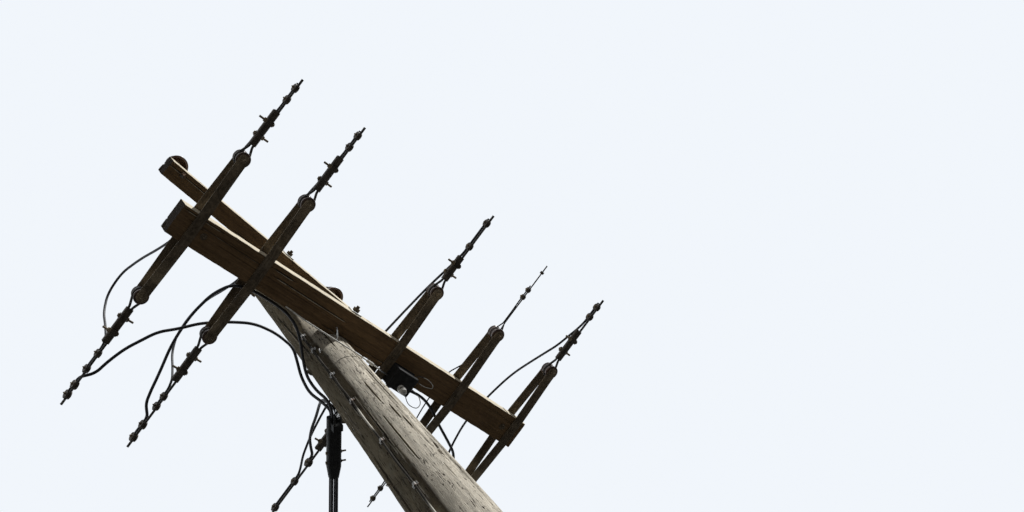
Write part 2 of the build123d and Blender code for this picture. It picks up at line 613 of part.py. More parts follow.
def make_jumpers():
    """The jumpers that carry each circuit over the lower crossarm."""
    middles = {
        "a": [(9, -735, 29), (6, -640, 35), (2, -560, 45), (0, -448, 67), (0, -238, 80), (0, -8, 92),
              (0, 122, 104), (0, 222, 195), (0, 342, 327), (0, 482, 437), (0, 617, 420), (3, 692, 295),
              (7, 716, 165), (9, 742, 60)],
        "b": [(9, -728, 29), (5, -608, 40), (0, -438, 68), (0, -238, 82), (0, -8, 94), (0, 122, 118),
              (0, 232, 207), (0, 342, 315), (0, 477, 370), (0, 612, 355), (4, 692, 265),
              (7, 727, 155), (9, 766, 57)],
        "c": [(9, -665, 36), (5, -568, 64), (0, -438, 101), (0, -268, 145), (0, -84, 187),
              (0, 112, 230), (0, 322, 250), (0, 525, 220), (3, 692, 167), (7, 802, 105), (9, 850, 52)],
        "d": [(10, -610, 22), (30, -520, 36), (46, -440, 49), (52, -347, 60), (33, -263, 67),
              (-31, -137, 74), (-56, -90, 77), (-48.5, 42, 100), (-44.5, 212, 90), (-34.5, 352, 60),
              (-26.5, 482, 47), (-12, 602, 30)],
        "e": [(9, -758, 37), (5, -688, 62), (2, -598, 95), (0, -441, 196), (0, -273, 300), (0, -68, 365),
              (0, 162, 405), (0, 352, 360), (0, 522, 270), (4, 662, 145), (9, 767, 45)],
    }
    for name, middle in middles.items():
        diameter = JUMPER_DIA if name in CLAMP_LENGTH else THIN_WIRE_DIA
        over = [(STRAP_X[name] + x, LOW_ARM_Y + y, SPOOL_Z + z) for x, y, z in middle]
        near = tap_line(name, -1, TAPS_NEAR[name], diameter)
        far = tap_line(name, 1, TAPS_FAR[name], diameter)
        write("jumper_" + name, tube(near + over + far[::-1], diameter))


def strain_place():
    """Where the strain clamp starts, with local +X out along its bundle."""
    return Pos(*STRAIN_START) * Rot(0, 0, STRAIN_TURN)


def strain_bolts():
    """The cross bolts of the strain clamp."""
    bolts = []
    for along in STRAIN_BOLT_PLACES:
        cross_bolt = bolt((along, STRAIN_WIDTH / 2, 0), (0, -1, 0), STRAIN_BOLT_DIA, STRAIN_WIDTH,
                          STRAIN_NUT, STRAIN_NUT, STRAIN_BOLT_TAIL)
        bolts.append(strain_place() * cross_bolt)
    return bolts


def core_offsets():
    """Sideways and upward offset of each core in the bundle."""
    half = CORE_SPACING / 2
    return {"a": (half, half), "b": (half, -half), "c": (-half, half), "e": (-half, -half)}


def in_strain(along, across, up):
    """A point given along, across and above the strain clamp's axis."""
    turn = radians(STRAIN_TURN)
    x, y, z = STRAIN_START
    return (x + along * cos(turn) - across * sin(turn), y + along * sin(turn) + across * cos(turn), z + up)


def make_cores():
    """The four cores of the bundled cable, each from its stub through the clamp to its own circuit."""
    middles = {
        "a": [(20, 196, -220), (-30, 205, -140), (-95, 165, -70), (-145, 112, -20), (-192, 66, 30),
              (-300, 58, 90), (-430, 80, 118), (-562, 151, 125), (-690, 233, 115), (-778, 318, 103),
              (-865, 383, 90), (-965, 545, 70), (-1000, 650, 66), (-1014, 737, 74)],
        "b": [(30, 165, -250), (-30, 165, -185), (-90, 140, -115), (-135, 85, -50), (-190, 15, -10),
              (-260, -48, 22), (-350, -80, 38), (-470, -86, 46), (-600, -80, 56), (-690, -45, 80),
              (-730, 60, 125), (-746, 230, 154), (-732, 420, 156), (-697, 585, 138), (-692, 690, 92),
              (-680, 752, 76)],
        "c": [(60, 182, -220), (72, 205, -120), (120, 250, -40), (176, 330, 5), (218, 415, 35),
              (264, 478, 62), (316, 524, 78)],
        "e": [(105, 150, -250), (140, 130, -185), (210, 85, -110), (300, 30, -48), (390, -12, -13),
              (480, -45, 20), (580, -68, 44), (694, -79, 50), (800, -52, 52), (907, 6, 50),
              (1040, 66, 49), (1150, 119, 52), (1215, 260, 50), (1250, 420, 52), (1258, 540, 56),
              (1275, 650, 64), (1300, 735, 74)],
    }
    for name, (across, up) in core_offsets().items():
        start = [in_strain(STRAIN_LENGTH + BUNDLE_STUB, across, up), in_strain(-CORE_LEAD, across, up)]
        rise = [(x, y, LOW_ARM_BOTTOM + z) for x, y, z in middles[name]]
        end = tap_line(name, 1, CORE_TAPS[name], CORE_DIA)
        write("cable_core_" + name, tube(start + rise + end[::-1], CORE_DIA))


def make_strain_clamp():
    """The moulded clamp body, bored for the four cores and its bolts, with the bail that hangs it."""
    half_width = STRAIN_WIDTH / 2
    half_height = STRAIN_HEIGHT / 2
    body = block(0, STRAIN_LENGTH, -half_width, half_width, -half_height, half_height)
    body = fillet(body.edges().filter_by(Axis.X), STRAIN_CORNER)
    shoulder = STRAIN_LENGTH - STRAIN_TAPER
    body &= block(0, shoulder, -half_width, half_width, -half_height, half_height)
    mouth = Plane((STRAIN_LENGTH, 0, 0), x_dir=(0, 1, 0), z_dir=(1, 0, 0))
    throat = Plane((shoulder, 0, 0), x_dir=(0, 1, 0), z_dir=(1, 0, 0))
    body += loft([throat * RectangleRounded(STRAIN_WIDTH, STRAIN_HEIGHT, STRAIN_CORNER),
                  mouth * RectangleRounded(STRAIN_MOUTH_WIDTH, STRAIN_MOUTH_HEIGHT, STRAIN_CORNER)])
    for across, up in core_offsets().values():
        body -= rod((0, across, up), (1, 0, 0), CORE_DIA, STRAIN_LENGTH)
    for along in STRAIN_BOLT_PLACES:
        body -= rod((along, half_width, 0), (0, -1, 0), STRAIN_BOLT_DIA, STRAIN_WIDTH)
    up = -HOOK_DROP
    side = BAIL_LEG + BAIL_DIA
    body += block(BAIL_LEG, 3 * BAIL_LEG, -side, side, up - BAIL_DIA, -half_height)
    bail = Line((2 * BAIL_LEG, BAIL_LEG, up), (-BAIL_REACH, BAIL_LEG, up))
    bail += ThreePointArc((-BAIL_REACH, BAIL_LEG, up), (-BAIL_REACH - BAIL_LEG, 0, up),
                          (-BAIL_REACH, -BAIL_LEG, up))
    bail += Line((-BAIL_REACH, -BAIL_LEG, up), (2 * BAIL_LEG, -BAIL_LEG, up))
    start = Plane((2 * BAIL_LEG, BAIL_LEG, up), z_dir=(-1, 0, 0))
    body += sweep(start * Circle(BAIL_DIA / 2), path=bail)
    write("strain_clamp", strain_place() * body)


def make_hook():
    """A screw hook in the back of the pole, whose eye holds the strain clamp's bail."""
    surface = pole_radius(HOOK_Z)
    shank = rod((0, surface - HOOK_BITE, 0), (0, 1, 0), HOOK_DIA, HOOK_BITE + HOOK_DIA)
    eye = Pos(0, surface + HOOK_RADIUS + HOOK_DIA / 2, 0) * (Rot(0, 90, 0) * Torus(HOOK_RADIUS, HOOK_DIA / 2))
    return hook_place() * (shank + eye)


def hook_place():
    """The hook's height and the way it points out of the pole."""
    return Pos(0, 0, HOOK_Z) * Rot(0, 0, HOOK_TURN - 90)


# Service fuse box

def make_service_box():
    """A small fuse box under the crossarm's back edge on its wider mounting plate, and the fuse below it."""
    top = LOW_ARM_BOTTOM - BOX_PLATE
    left = BOX_X - BOX_LENGTH / 2
    front = BOX_Y - BOX_DEPTH / 2
    box = block(left, left + BOX_LENGTH, front, front + BOX_DEPTH, top - BOX_HEIGHT, top)
    box = chamfer(box.edges().filter_by(Axis.Z), BOX_PLATE)
    right = left + BOX_LENGTH + 2 * BOX_PLATE
    box += block(left, right, front - BOX_PLATE, front + BOX_DEPTH, top, LOW_ARM_BOTTOM)
    write("service_box", box)
    write("service_fuse", rod((BOX_X, FUSE_Y, top - BOX_HEIGHT), (0, 0, -1), FUSE_DIA, FUSE_LENGTH))


# Thin cable down the pole

def clip_heights():
    """The clips seen near the crossarm, then evenly spaced ones down to the cable's foot."""
    heights = [LOW_ARM_BOTTOM + height for height in CLIPS_FROM_ARM]
    while heights[-1] - CLIP_SPACING > CABLE_FOOT:
        heights.append(heights[-1] - CLIP_SPACING)
    return heights


def wall_line(z, length, clearance):
    """Two points on the pole's left face, the given clearance off it, at a height and a length above it."""
    low = Vector(-pole_radius(z) - clearance, 0, z)
    return low, Vector(-pole_radius(z + length) - clearance, 0, z + length)


def make_pole_cable():
    """A thin cable that bows a little between its clips on the pole's left face, and the saddle clips."""
    radius = POLE_CABLE_DIA / 2
    route = []
    clips = []
    for z in clip_heights():
        low, high = wall_line(z, CLIP_LENGTH, radius + CABLE_PLAY)
        along = (high - low).normalized()
        if route:
            middle = (route[-1] + high + along * CLIP_RUN) / 2
            route.append(middle - Vector(CABLE_BOW, 0, 0))
        route += [high + along * CLIP_RUN, low - along * CLIP_RUN]
        wall = -pole_radius(z) - CABLE_PLAY / 2
        wide = 2 * (radius + CLIP_BAND)
        clip = rod(low, along, wide, CLIP_LENGTH)
        clip += block(wall - CLIP_BAND, wall, -wide, wide, z, z + CLIP_LENGTH)
        clip -= rod(low - along, along, POLE_CABLE_DIA + CABLE_PLAY / 2, CLIP_LENGTH + 2)
        clip -= block(wall, wall + wide, -2 * wide, 2 * wide, z - 1, z + CLIP_LENGTH + 1)
        clips.append(clip)
    write("pole_cable", tube(route, POLE_CABLE_DIA))
    write("pole_clips", Compound(clips))


def make_service_leads():
    """The hanging lead with its thicker joint, the fuse's own wire and the spare loop beside the box."""
    end = (BOX_X - BOX_LENGTH / 2 - LEAD_END_GAP, BOX_Y + BOX_DEPTH / 8, -BOX_HEIGHT / 2)
    route = [(x, y, LOW_ARM_BOTTOM + z) for x, y, z in [*LEAD_ROUTE, end]]
    start, far = max(zip(route, route[1:]), key=lambda run: (Vector(*run[1]) - Vector(*run[0])).length)
    along = Vector(*far) - Vector(*start)
    low, high = LEAD_SLEEVE_SPAN
    joint = rod(Vector(*start) + along * low, along, LEAD_SLEEVE_DIA, along.length * (high - low))
    leads = [tube(route, LEAD_DIA) + joint]
    foot = LOW_ARM_BOTTOM - BOX_PLATE - BOX_HEIGHT - FUSE_LENGTH
    for wire in [FUSE_WIRE, SPARE_WIRE]:
        leads.append(tube([(BOX_X + x, FUSE_Y + y, foot + z) for x, y, z in wire], FUSE_WIRE_DIA))
    write("service_leads", Compound(leads))


os.makedirs("parts", exist_ok=True)
write("pole", make_pole())
write("lower_crossarm", make_low_arm())
write("upper_crossarm", make_top_arm())
make_king_bolts()
make_end_bolts()
make_strap_pairs()
make_line_ends()
make_pin_insulators()
make_jumpers()
make_cores()
make_strain_clamp()
write("screw_hook", make_hook())
make_service_box()
make_pole_cable()
make_service_leads()
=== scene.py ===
"""A weathered timber utility pole with two crossarms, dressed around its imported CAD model."""
import json
import math
import random

import bmesh
import bpy
import numpy as np
from mathutils import Matrix, Vector


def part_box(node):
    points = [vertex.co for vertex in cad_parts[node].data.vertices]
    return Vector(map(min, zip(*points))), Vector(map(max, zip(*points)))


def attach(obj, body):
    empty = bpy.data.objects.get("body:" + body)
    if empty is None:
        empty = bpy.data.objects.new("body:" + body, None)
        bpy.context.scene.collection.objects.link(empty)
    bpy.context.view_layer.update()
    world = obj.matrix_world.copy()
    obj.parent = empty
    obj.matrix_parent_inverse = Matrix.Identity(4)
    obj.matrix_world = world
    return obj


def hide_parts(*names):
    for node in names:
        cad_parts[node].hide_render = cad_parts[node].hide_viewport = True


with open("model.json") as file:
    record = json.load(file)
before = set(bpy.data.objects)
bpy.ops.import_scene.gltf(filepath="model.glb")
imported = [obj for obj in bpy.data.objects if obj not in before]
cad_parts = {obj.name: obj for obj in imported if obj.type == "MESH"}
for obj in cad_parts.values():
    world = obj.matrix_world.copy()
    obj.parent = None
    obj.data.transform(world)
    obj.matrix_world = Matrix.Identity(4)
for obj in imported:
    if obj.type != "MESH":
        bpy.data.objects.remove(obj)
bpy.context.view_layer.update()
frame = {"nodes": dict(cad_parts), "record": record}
NODES = frame["nodes"]

# The eye stands near the pole's foot and looks steeply up at the crossarms
EYE = Vector((-3.50, -1.097, 1.6))
VIEW_RIGHT = Vector((0.67972, -0.59759, -0.42512))
VIEW_UP = Vector((-0.50466, -0.80179, 0.32028))
LENS_MM = 45.9
SENSOR_MM = 36.0

# The shaft: share of its height and radius in metres, then columns, rows and top of its grid
POLE_HEIGHT = 9.75
POLE_RADII = [(0.0, 0.198), (0.26, 0.190), (0.51, 0.181), (0.63, 0.1745), (0.68, 0.1665), (0.72, 0.1555),
              (0.76, 0.1465), (0.84, 0.134), (1.0, 0.1225)]
POLE_COLUMNS = 240
POLE_ROW = 0.075
POLE_ROW_START = 0.0007
POLE_TOP_BEVEL = 0.014
TOP_RINGS = 7
TOP_RING_WIDTH = 0.0135
AT_LEVEL = 0.002
UPRIGHT = (0.0, 0.0, 1.0)

# Notches: depth of a gain, radius of a washer's seat, then the sizes of their cutters
GAIN_DEPTH = 0.032
SPOT_RADIUS = 0.051
GAIN_CUTTER = (0.8, 0.3)
SPOT_CUTTER = 0.2

# Crossarms: ends along the arm, width, lowest and highest level, turn about the pole
LOW_ARM = {"left": -1.195, "right": 1.405, "width": 0.180, "bottom": 8.10, "top": 8.21, "turn": 0.0}
TOP_ARM = {"left": -1.005, "right": 1.545, "width": 0.110, "bottom": 9.34, "top": 9.45,
           "turn": math.radians(6.2)}
ARM_GRID = 0.0061
ARM_ROW = 0.024
ARM_EDGE_BEVEL = 0.0035
ARM_CORNER_BEVEL = 0.030

# Wear of the timber in metres
FOOT_LEVEL = 0.02
SHAFT_CHECK_DEPTH = 0.014
SHAFT_SWELL = 0.005
SHAFT_WEAR = 0.0022
ARM_CHECK_DEPTH = 0.008
ARM_WEAR = 0.007
ARM_WEAR_MIDDLE = 0.73
ARM_WEAR_REACH = 0.016
ARM_FACE_WEAR = 0.12

# Outlines of turned pieces in millimetres: radius and height
SPOOL_OUTLINE = [(9.5, -34), (11, -35), (37, -35), (41, -34.2), (43, -30.6), (41.6, -27), (38, -24.6),
                 (38.6, -14), (39.6, -8.8), (36, -6.6), (32.4, -3.6), (31, 0), (32.4, 3.6), (36, 6.6),
                 (39.6, 8.8), (38.6, 14), (38, 24.6), (41.6, 27), (43, 30.6), (41, 34.2), (37, 35),
                 (11, 35), (9.5, 34)]
BELL_OUTLINE = [(11, 90), (11, 24), (20, 21), (22, 23), (24, 40), (25, 56), (30, 60), (40, 58), (47, 48),
                (54, 30), (60, 8), (64, 1.5), (68, 0), (73.5, 0.6), (76.5, 4), (75.5, 9), (71, 24), (65, 38),
                (61.5, 46), (60, 50), (54, 58), (49, 66), (50, 69), (55, 71.5), (57, 74.5), (53, 82),
                (46, 92), (36, 102), (30, 110), (28.5, 114), (25, 119), (22.5, 124), (25, 129), (29, 133),
                (33, 137), (33.4, 142), (30, 147), (22, 149.6), (10, 150), (0, 150)]
BELL_LEVEL = 9.52
FUSE_OUTLINE = [(7, 0), (15, 0), (18.5, 1.2), (19.5, 4), (19.5, 9), (16.5, 11), (16.5, 14), (20, 16),
                (22, 18), (22, 24), (22, 30), (22, 36), (22, 42), (19.5, 44), (19.5, 47), (22, 49),
                (22, 58), (18, 62), (18, 66)]
SPOOL_RADIUS = 0.043
FUSE_SLOT_LEVEL = 0.033
FUSE_SLOT_HALF_HEIGHT = 0.0095
FUSE_SLOT_DEPTH = 0.005
FUSE_SLOT_WAY = Vector((-0.91, -0.42, 0.0))

# Pins along the upper crossarm, and how far they stand in front of its middle
PIN_PLACES = [-0.905, 0.515, 1.245]
PIN_FORWARD = 0.022

# Fuse box lid in metres
LID_THICK = 0.030
LID_LEVEL = 0.020
LID_MARGIN = 0.012
LID_RIM = 0.012
SCREW_RADIUS = 0.006
HINGE_RADIUS = 0.005

# Lamp, sky and floor
SUN_WAY = Vector((0.234, -0.815, 0.53))
SUN_STRENGTH = 3.6
SUN_ANGLE = math.radians(2.0)
WORLD_STRENGTH = 0.15
FLOOR_SIZE = 60.0
FLOOR_DROP = 0.002
PALE_FLOOR = (0.72, 0.72, 0.72, 1.0)
DIM_FLOOR = (0.12, 0.12, 0.12, 1.0)
PALE_SKY = (0.88, 0.92, 0.97, 1.0)


def pole_radius(level):
    """The shaft's radius at a height."""
    share = level / POLE_HEIGHT
    for (low, wide), (high, narrow) in zip(POLE_RADII, POLE_RADII[1:]):
        if share <= high:
            return wide + (narrow - wide) * (share - low) / (high - low)
    return POLE_RADII[-1][1]


def arm_back(arm):
    """Where the crossarm's back face lies, in the gain of the shaft."""
    return -(pole_radius((arm["bottom"] + arm["top"]) / 2) - GAIN_DEPTH)


# Finishes

# How softly a patch of hair cracks or splits fades out
PATCH_FADE = 0.07

# Timber tones, the dark of small cracks, and dirt with painted shade in the deep grooves
SAPWOOD = (0.96, 0.90, 0.76)
INNER_SAPWOOD = (0.60, 0.51, 0.39)
DAMP_FOOT = (0.085, 0.075, 0.055)
LICHEN = (0.34, 0.34, 0.27)
# Painted shade on the shaft: from its far side through the darkest band at the shade's edge to none on the
# sunny side
POLE_PAINTED_SHADE = [(0.0, (0.50, 0.47, 0.40)), (0.25, (0.38, 0.35, 0.29)), (0.56, (0.20, 0.175, 0.14)),
               (0.66, (1.0, 1.0, 1.0))]
OILED_WOOD = (0.30, 0.19, 0.095)
DARK_WOOD = (0.12, 0.072, 0.036)
# Pale tone of the arms' top and front faces: sun bleaching with painted sunlight
SUN_BLEACH_AND_LIGHT = (4.4, 6.2, 9.5)
BLEACHED_AND_SUNLIT_WOOD = (0.80, 0.72, 0.56)
END_SOAK = (0.2, 0.19, 0.17)
DARK_END_GRAIN = (0.032, 0.025, 0.019)
# The way the sun falls on the shaft, which places the painted shade
SUNNY_WAY = (0.28, -0.96, 0.0)
POLE_CRACK = (0.045, 0.033, 0.024)
POLE_GROOVE_DIRT_AND_SHADE = (0.022, 0.016, 0.012)
ARM_CRACK = (0.016, 0.011, 0.008)
ARM_GROOVE_DIRT_AND_SHADE = (0.012, 0.009, 0.007)

# Tones of steel, glaze and sheaths
RUST_STAIN = (0.16, 0.085, 0.045)
OLD_RUST = [(0.3, (0.06, 0.045, 0.028)), (0.5, (0.13, 0.098, 0.062)), (0.72, (0.26, 0.205, 0.14))]
RUST_RUN = (0.30, 0.26, 0.2)
RUBBED_STEEL = (0.40, 0.32, 0.21)
OLD_DIRT = (0.13, 0.11, 0.08)
# Settled dust with painted sunlight, on glaze faces turned to the sun
DUST_AND_SUNLIGHT_TONE = (0.52, 0.49, 0.43)
DUST_AND_SUN_WAY = (0.25, -0.82, 0.52)
BLEACHED_LEAD = [(0.35, (0.62, 0.60, 0.53)), (0.75, (0.86, 0.84, 0.77))]
BLACK_LEAD = [(0.35, (0.014, 0.014, 0.014)), (0.75, (0.05, 0.05, 0.048))]
# The pole cable: grime with painted shade, and painted sunlight where it bows out
GRIMY_AND_SHADED_CABLE = [(0.35, (0.035, 0.031, 0.026)), (0.75, (0.09, 0.082, 0.068))]
PAINTED_SUNLIT_CABLE = (0.74, 0.71, 0.62)


class Finish:
    """One procedural material, built node by node on Object coordinates."""

    def __init__(self, name, roughness, metallic=0.0, coat=0.0, shine=0.5):
        self.material = bpy.data.materials.new(name)
        self.material.use_nodes = True
        self.tree = self.material.node_tree
        self.shader = self.tree.nodes["Principled BSDF"]
        self.shader.inputs["Roughness"].default_value = roughness
        self.shader.inputs["Metallic"].default_value = metallic
        self.shader.inputs["Coat Weight"].default_value = coat
        self.shader.inputs["Coat Roughness"].default_value = 0.12
        self.shader.inputs["Specular IOR Level"].default_value = shine
        self.coordinates = self.tree.nodes.new("ShaderNodeTexCoord").outputs["Object"]
        self.normal = None

    def link(self, source, target):
        """Joins an output to an input."""
        self.tree.links.new(source, target)

    def fill(self, sockets, values):
        """Links the values that are outputs and sets the others."""
        for socket, value in zip(sockets, values):
            if isinstance(value, bpy.types.NodeSocket):
                self.link(value, socket)
            else:
                socket.default_value = value

    def point(self, stretch=(1.0, 1.0, 1.0), turn=0.0):
        """Object coordinates, turned about the vertical and stretched along each axis."""
        place = self.tree.nodes.new("ShaderNodeMapping")
        place.vector_type = "TEXTURE"
        place.inputs["Rotation"].default_value = (0.0, 0.0, turn)
        place.inputs["Scale"].default_value = stretch
        self.link(self.coordinates, place.inputs["Vector"])
        return place.outputs["Vector"]

    def noise(self, point, scale, detail=4.0, roughness=0.55, distortion=0.0):
        """A cloudy pattern."""
        cloud = self.tree.nodes.new("ShaderNodeTexNoise")
        cloud.inputs["Scale"].default_value = scale
        cloud.inputs["Detail"].default_value = detail
        cloud.inputs["Roughness"].default_value = roughness
        cloud.inputs["Distortion"].default_value = distortion
        self.link(point, cloud.inputs["Vector"])
        return cloud.outputs["Fac"]

    def cells(self, point, scale, feature="DISTANCE_TO_EDGE"):
        """A cell pattern: how far each point is from a cell's edge or middle."""
        cell = self.tree.nodes.new("ShaderNodeTexVoronoi")
        cell.feature = feature
        cell.inputs["Scale"].default_value = scale
        self.link(point, cell.inputs["Vector"])
        return cell.outputs["Distance"]

    def bands(self, point, scale, direction):
        """An even pattern of bands."""
        wave = self.tree.nodes.new("ShaderNodeTexWave")
        wave.bands_direction = direction
        wave.inputs["Scale"].default_value = scale
        self.link(point, wave.inputs["Vector"])
        return wave.outputs["Fac"]

    def attribute(self, name):
        """A number stored on the mesh."""
        node = self.tree.nodes.new("ShaderNodeAttribute")
        node.attribute_name = name
        return node.outputs["Fac"]

    def facing(self, direction):
        """How far the surface faces one way, from -1 to 1."""
        turned = self.tree.nodes.new("ShaderNodeVectorMath")
        turned.operation = "DOT_PRODUCT"
        source = self.tree.nodes.new("ShaderNodeTexCoord").outputs["Normal"]
        self.link(source, turned.inputs[0])
        turned.inputs[1].default_value = direction
        return turned.outputs["Value"]

    def along(self, axis):
        """The place along the X, Y or Z axis in metres."""
        split = self.tree.nodes.new("ShaderNodeSeparateXYZ")
        self.link(self.coordinates, split.inputs["Vector"])
        return split.outputs[axis]

    def ramp(self, value, stops):
        """A colour ramp through (position, colour or grey level) stops."""
        node = self.tree.nodes.new("ShaderNodeValToRGB")
        band = node.color_ramp
        while len(band.elements) < len(stops):
            band.elements.new(0.5)
        for element, (position, tone) in zip(band.elements, stops):
            colour = tone if isinstance(tone, tuple) else (tone, tone, tone)
            element.position = position
            element.color = (*colour, 1.0)
        self.link(value, node.inputs["Fac"])
        return node.outputs["Color"]

    def mix(self, factor, first, second, blend="MIX"):
        """Blends two colours."""
        node = self.tree.nodes.new("ShaderNodeMix")
        node.data_type = "RGBA"
        node.blend_type = blend
        for socket, value in (("Factor_Float", factor), ("A_Color", first), ("B_Color", second)):
            target = next(s for s in node.inputs if s.identifier == socket)
            if isinstance(value, bpy.types.NodeSocket):
                self.link(value, target)
            elif isinstance(value, tuple):
                target.default_value = (*value, 1.0)
            else:
                target.default_value = value
        return next(s for s in node.outputs if s.identifier == "Result_Color")

    def shade(self, tone, value, stops):
        """Multiplies a tone by a ramp."""
        return self.mix(1.0, tone, self.ramp(value, stops), "MULTIPLY")

    def maths(self, operation, first, second):
        """One calculation on two values."""
        node = self.tree.nodes.new("ShaderNodeMath")
        node.operation = operation
        self.fill(node.inputs, (first, second))
        return node.outputs["Value"]

    def bump(self, height, strength, distance):
        """Adds one more layer of relief."""
        node = self.tree.nodes.new("ShaderNodeBump")
        node.inputs["Strength"].default_value = strength
        node.inputs["Distance"].default_value = distance
        self.link(height, node.inputs["Height"])
        if self.normal:
            self.link(self.normal, node.inputs["Normal"])
        self.normal = node.outputs["Normal"]

    def done(self, colour, roughness=None):
        """Links the colour, the roughness and the relief and gives the material."""
        self.link(colour, self.shader.inputs["Base Color"])
        if roughness:
            self.link(roughness, self.shader.inputs["Roughness"])
        if self.normal:
            self.link(self.normal, self.shader.inputs["Normal"])
        return self.material


def timber_grain(finish, along, turn, sap, heart, hair_share, split_share):
    """Fibres, streaks and dark checks along one axis; gives the tone and the check mask."""
    long_way = [0.05, 0.05, 0.05]
    long_way[along] = 1.0
    fibres = finish.noise(finish.point(tuple(v * 0.22 for v in long_way), turn), 6.0, 9.0, 0.7)
    streaks = finish.noise(finish.point(tuple(long_way), turn), 2.6, 6.0, 0.62, 0.4)
    patches = finish.noise(finish.point(turn=turn), 4.2, 5.0, 0.62)
    short_way = [0.009, 0.009, 0.009]
    short_way[along] = 0.17
    fine_point = finish.point(tuple(short_way), turn)
    hairs = finish.ramp(finish.noise(fine_point, 1.7, 4.0, 0.62), [(0.36, 1.0), (0.41, 0.0)])
    hair_patch = finish.ramp(finish.noise(finish.point((0.09, 0.09, 0.3), turn), 1.0, 4.0, 0.65),
                             [(hair_share, 0.0), (hair_share + PATCH_FADE, 1.0)])
    wide_point = finish.point(tuple(v * 0.7 for v in long_way), turn)
    splits = finish.ramp(finish.cells(wide_point, 1.5), [(0.0, 1.0), (0.022, 0.0)])
    split_patch = finish.ramp(finish.noise(wide_point, 0.9, 3.0),
                              [(split_share, 0.0), (split_share + PATCH_FADE, 1.0)])
    fine = finish.maths("MULTIPLY", hairs, hair_patch)
    coarse = finish.maths("MULTIPLY", splits, split_patch)
    cracks = finish.maths("MAXIMUM", fine, coarse)
    middle = tuple((a + b) / 2 for a, b in zip(heart, sap))
    tone = finish.ramp(fibres, [(0.3, heart), (0.46, middle), (0.64, sap)])
    tone = finish.shade(tone, streaks, [(0.32, 0.60), (0.62, 1.0)])
    tone = finish.shade(tone, patches, [(0.35, 0.82), (0.65, 1.06)])
    finish.bump(fibres, 0.6, 0.004)
    finish.bump(streaks, 0.4, 0.007)
    finish.bump(finish.maths("MULTIPLY", cracks, -1.0), 0.9, 0.006)
    return tone, cracks


def pole_timber():
    """The shaft's sapwood: bleached cream, with grey weathering, dark checks, a damp foot and painted shade
    on the side turned from the sun.
    """
    finish = Finish("pole_wood", 0.9, shine=0.12)
    tone, cracks = timber_grain(finish, 2, 0.0, SAPWOOD, INNER_SAPWOOD, 0.44, 0.56)
    specks = finish.ramp(finish.noise(finish.point((0.012, 0.012, 0.04)), 1.0, 3.0, 0.6),
                         [(0.34, 1.0), (0.39, 0.0)])
    speck_patch = finish.ramp(finish.noise(finish.point((0.12, 0.12, 0.2)), 1.0, 4.0, 0.65),
                              [(0.42, 0.0), (0.52, 1.0)])
    cracks = finish.maths("MAXIMUM", cracks, finish.maths("MULTIPLY", specks, speck_patch))
    level = finish.along("Z")
    plain = finish.point()
    lichen = finish.ramp(finish.noise(plain, 9.0, 6.0, 0.7), [(0.56, 0.0), (0.66, 1.0)])
    foot = finish.ramp(finish.maths("ADD", level, finish.maths("MULTIPLY", finish.noise(plain, 3.0), 0.5)),
                       [(0.25, 1.0), (0.95, 0.0)])
    # Painted shade: the side turned from the sun is darkened, most just past the edge of the lit side
    drift = finish.maths("MULTIPLY", finish.maths("SUBTRACT", finish.noise(plain, 2.2, 5.0, 0.6), 0.5), 0.35)
    sunny = finish.maths("ADD", finish.facing(SUNNY_WAY), drift)
    tone = finish.shade(tone, finish.maths("ADD", sunny, 0.6), POLE_PAINTED_SHADE)
    tone = finish.mix(finish.maths("MULTIPLY", lichen, 0.35), tone, LICHEN)
    tone = finish.mix(finish.maths("MULTIPLY", foot, 0.75), tone, DAMP_FOOT)
    tone = finish.mix(cracks, tone, POLE_CRACK)
    # The deep grooves are darkened: dirt with painted shade inside them
    groove_dirt_and_shade = finish.ramp(finish.attribute("check"), [(0.3, 0.0), (0.85, 1.0)])
    return finish.done(finish.mix(groove_dirt_and_shade, tone, POLE_GROOVE_DIRT_AND_SHADE))


def arm_timber(name, turn):
    """Hardwood crossarm: brown below, paler on its top and its front face, which is sun bleaching with
    painted sunlight.
    """
    finish = Finish(name, 0.85, shine=0.12)
    tone, cracks = timber_grain(finish, 0, turn, OILED_WOOD, DARK_WOOD, 0.56, 0.60)
    # The top and front faces, turned to the sun, are made paler: sun bleaching with painted sunlight
    front = finish.facing((math.sin(turn), -math.cos(turn), 0.0))
    sunny = finish.maths("MAXIMUM", finish.facing(UPRIGHT), front)
    wear = finish.noise(finish.point((0.25, 0.06, 0.06), turn), 3.0, 6.0, 0.65)
    reach = finish.maths("ADD", sunny, finish.maths("MULTIPLY", finish.maths("SUBTRACT", wear, 0.5), 0.9))
    bleached = finish.mix(0.7, finish.mix(1.0, tone, SUN_BLEACH_AND_LIGHT, "MULTIPLY"), BLEACHED_AND_SUNLIT_WOOD)
    tone = finish.mix(finish.ramp(reach, [(0.35, 0.0), (0.72, 1.0)]), tone, bleached)
    end_way = finish.facing((math.cos(turn), math.sin(turn), 0.0))
    end_mask = finish.ramp(finish.maths("ABSOLUTE", end_way, 0.0), [(0.8, 0.0), (0.95, 1.0)])
    end_tone = finish.mix(1.0, tone, END_SOAK, "MULTIPLY")
    tone = finish.mix(end_mask, tone, finish.mix(0.7, end_tone, DARK_END_GRAIN))
    tone = finish.mix(cracks, tone, ARM_CRACK)
    # The deep grooves are darkened: dirt with painted shade inside them
    groove_dirt_and_shade = finish.ramp(finish.attribute("check"), [(0.1, 0.0), (0.6, 0.9)])
    return finish.done(finish.mix(groove_dirt_and_shade, tone, ARM_GROOVE_DIRT_AND_SHADE))


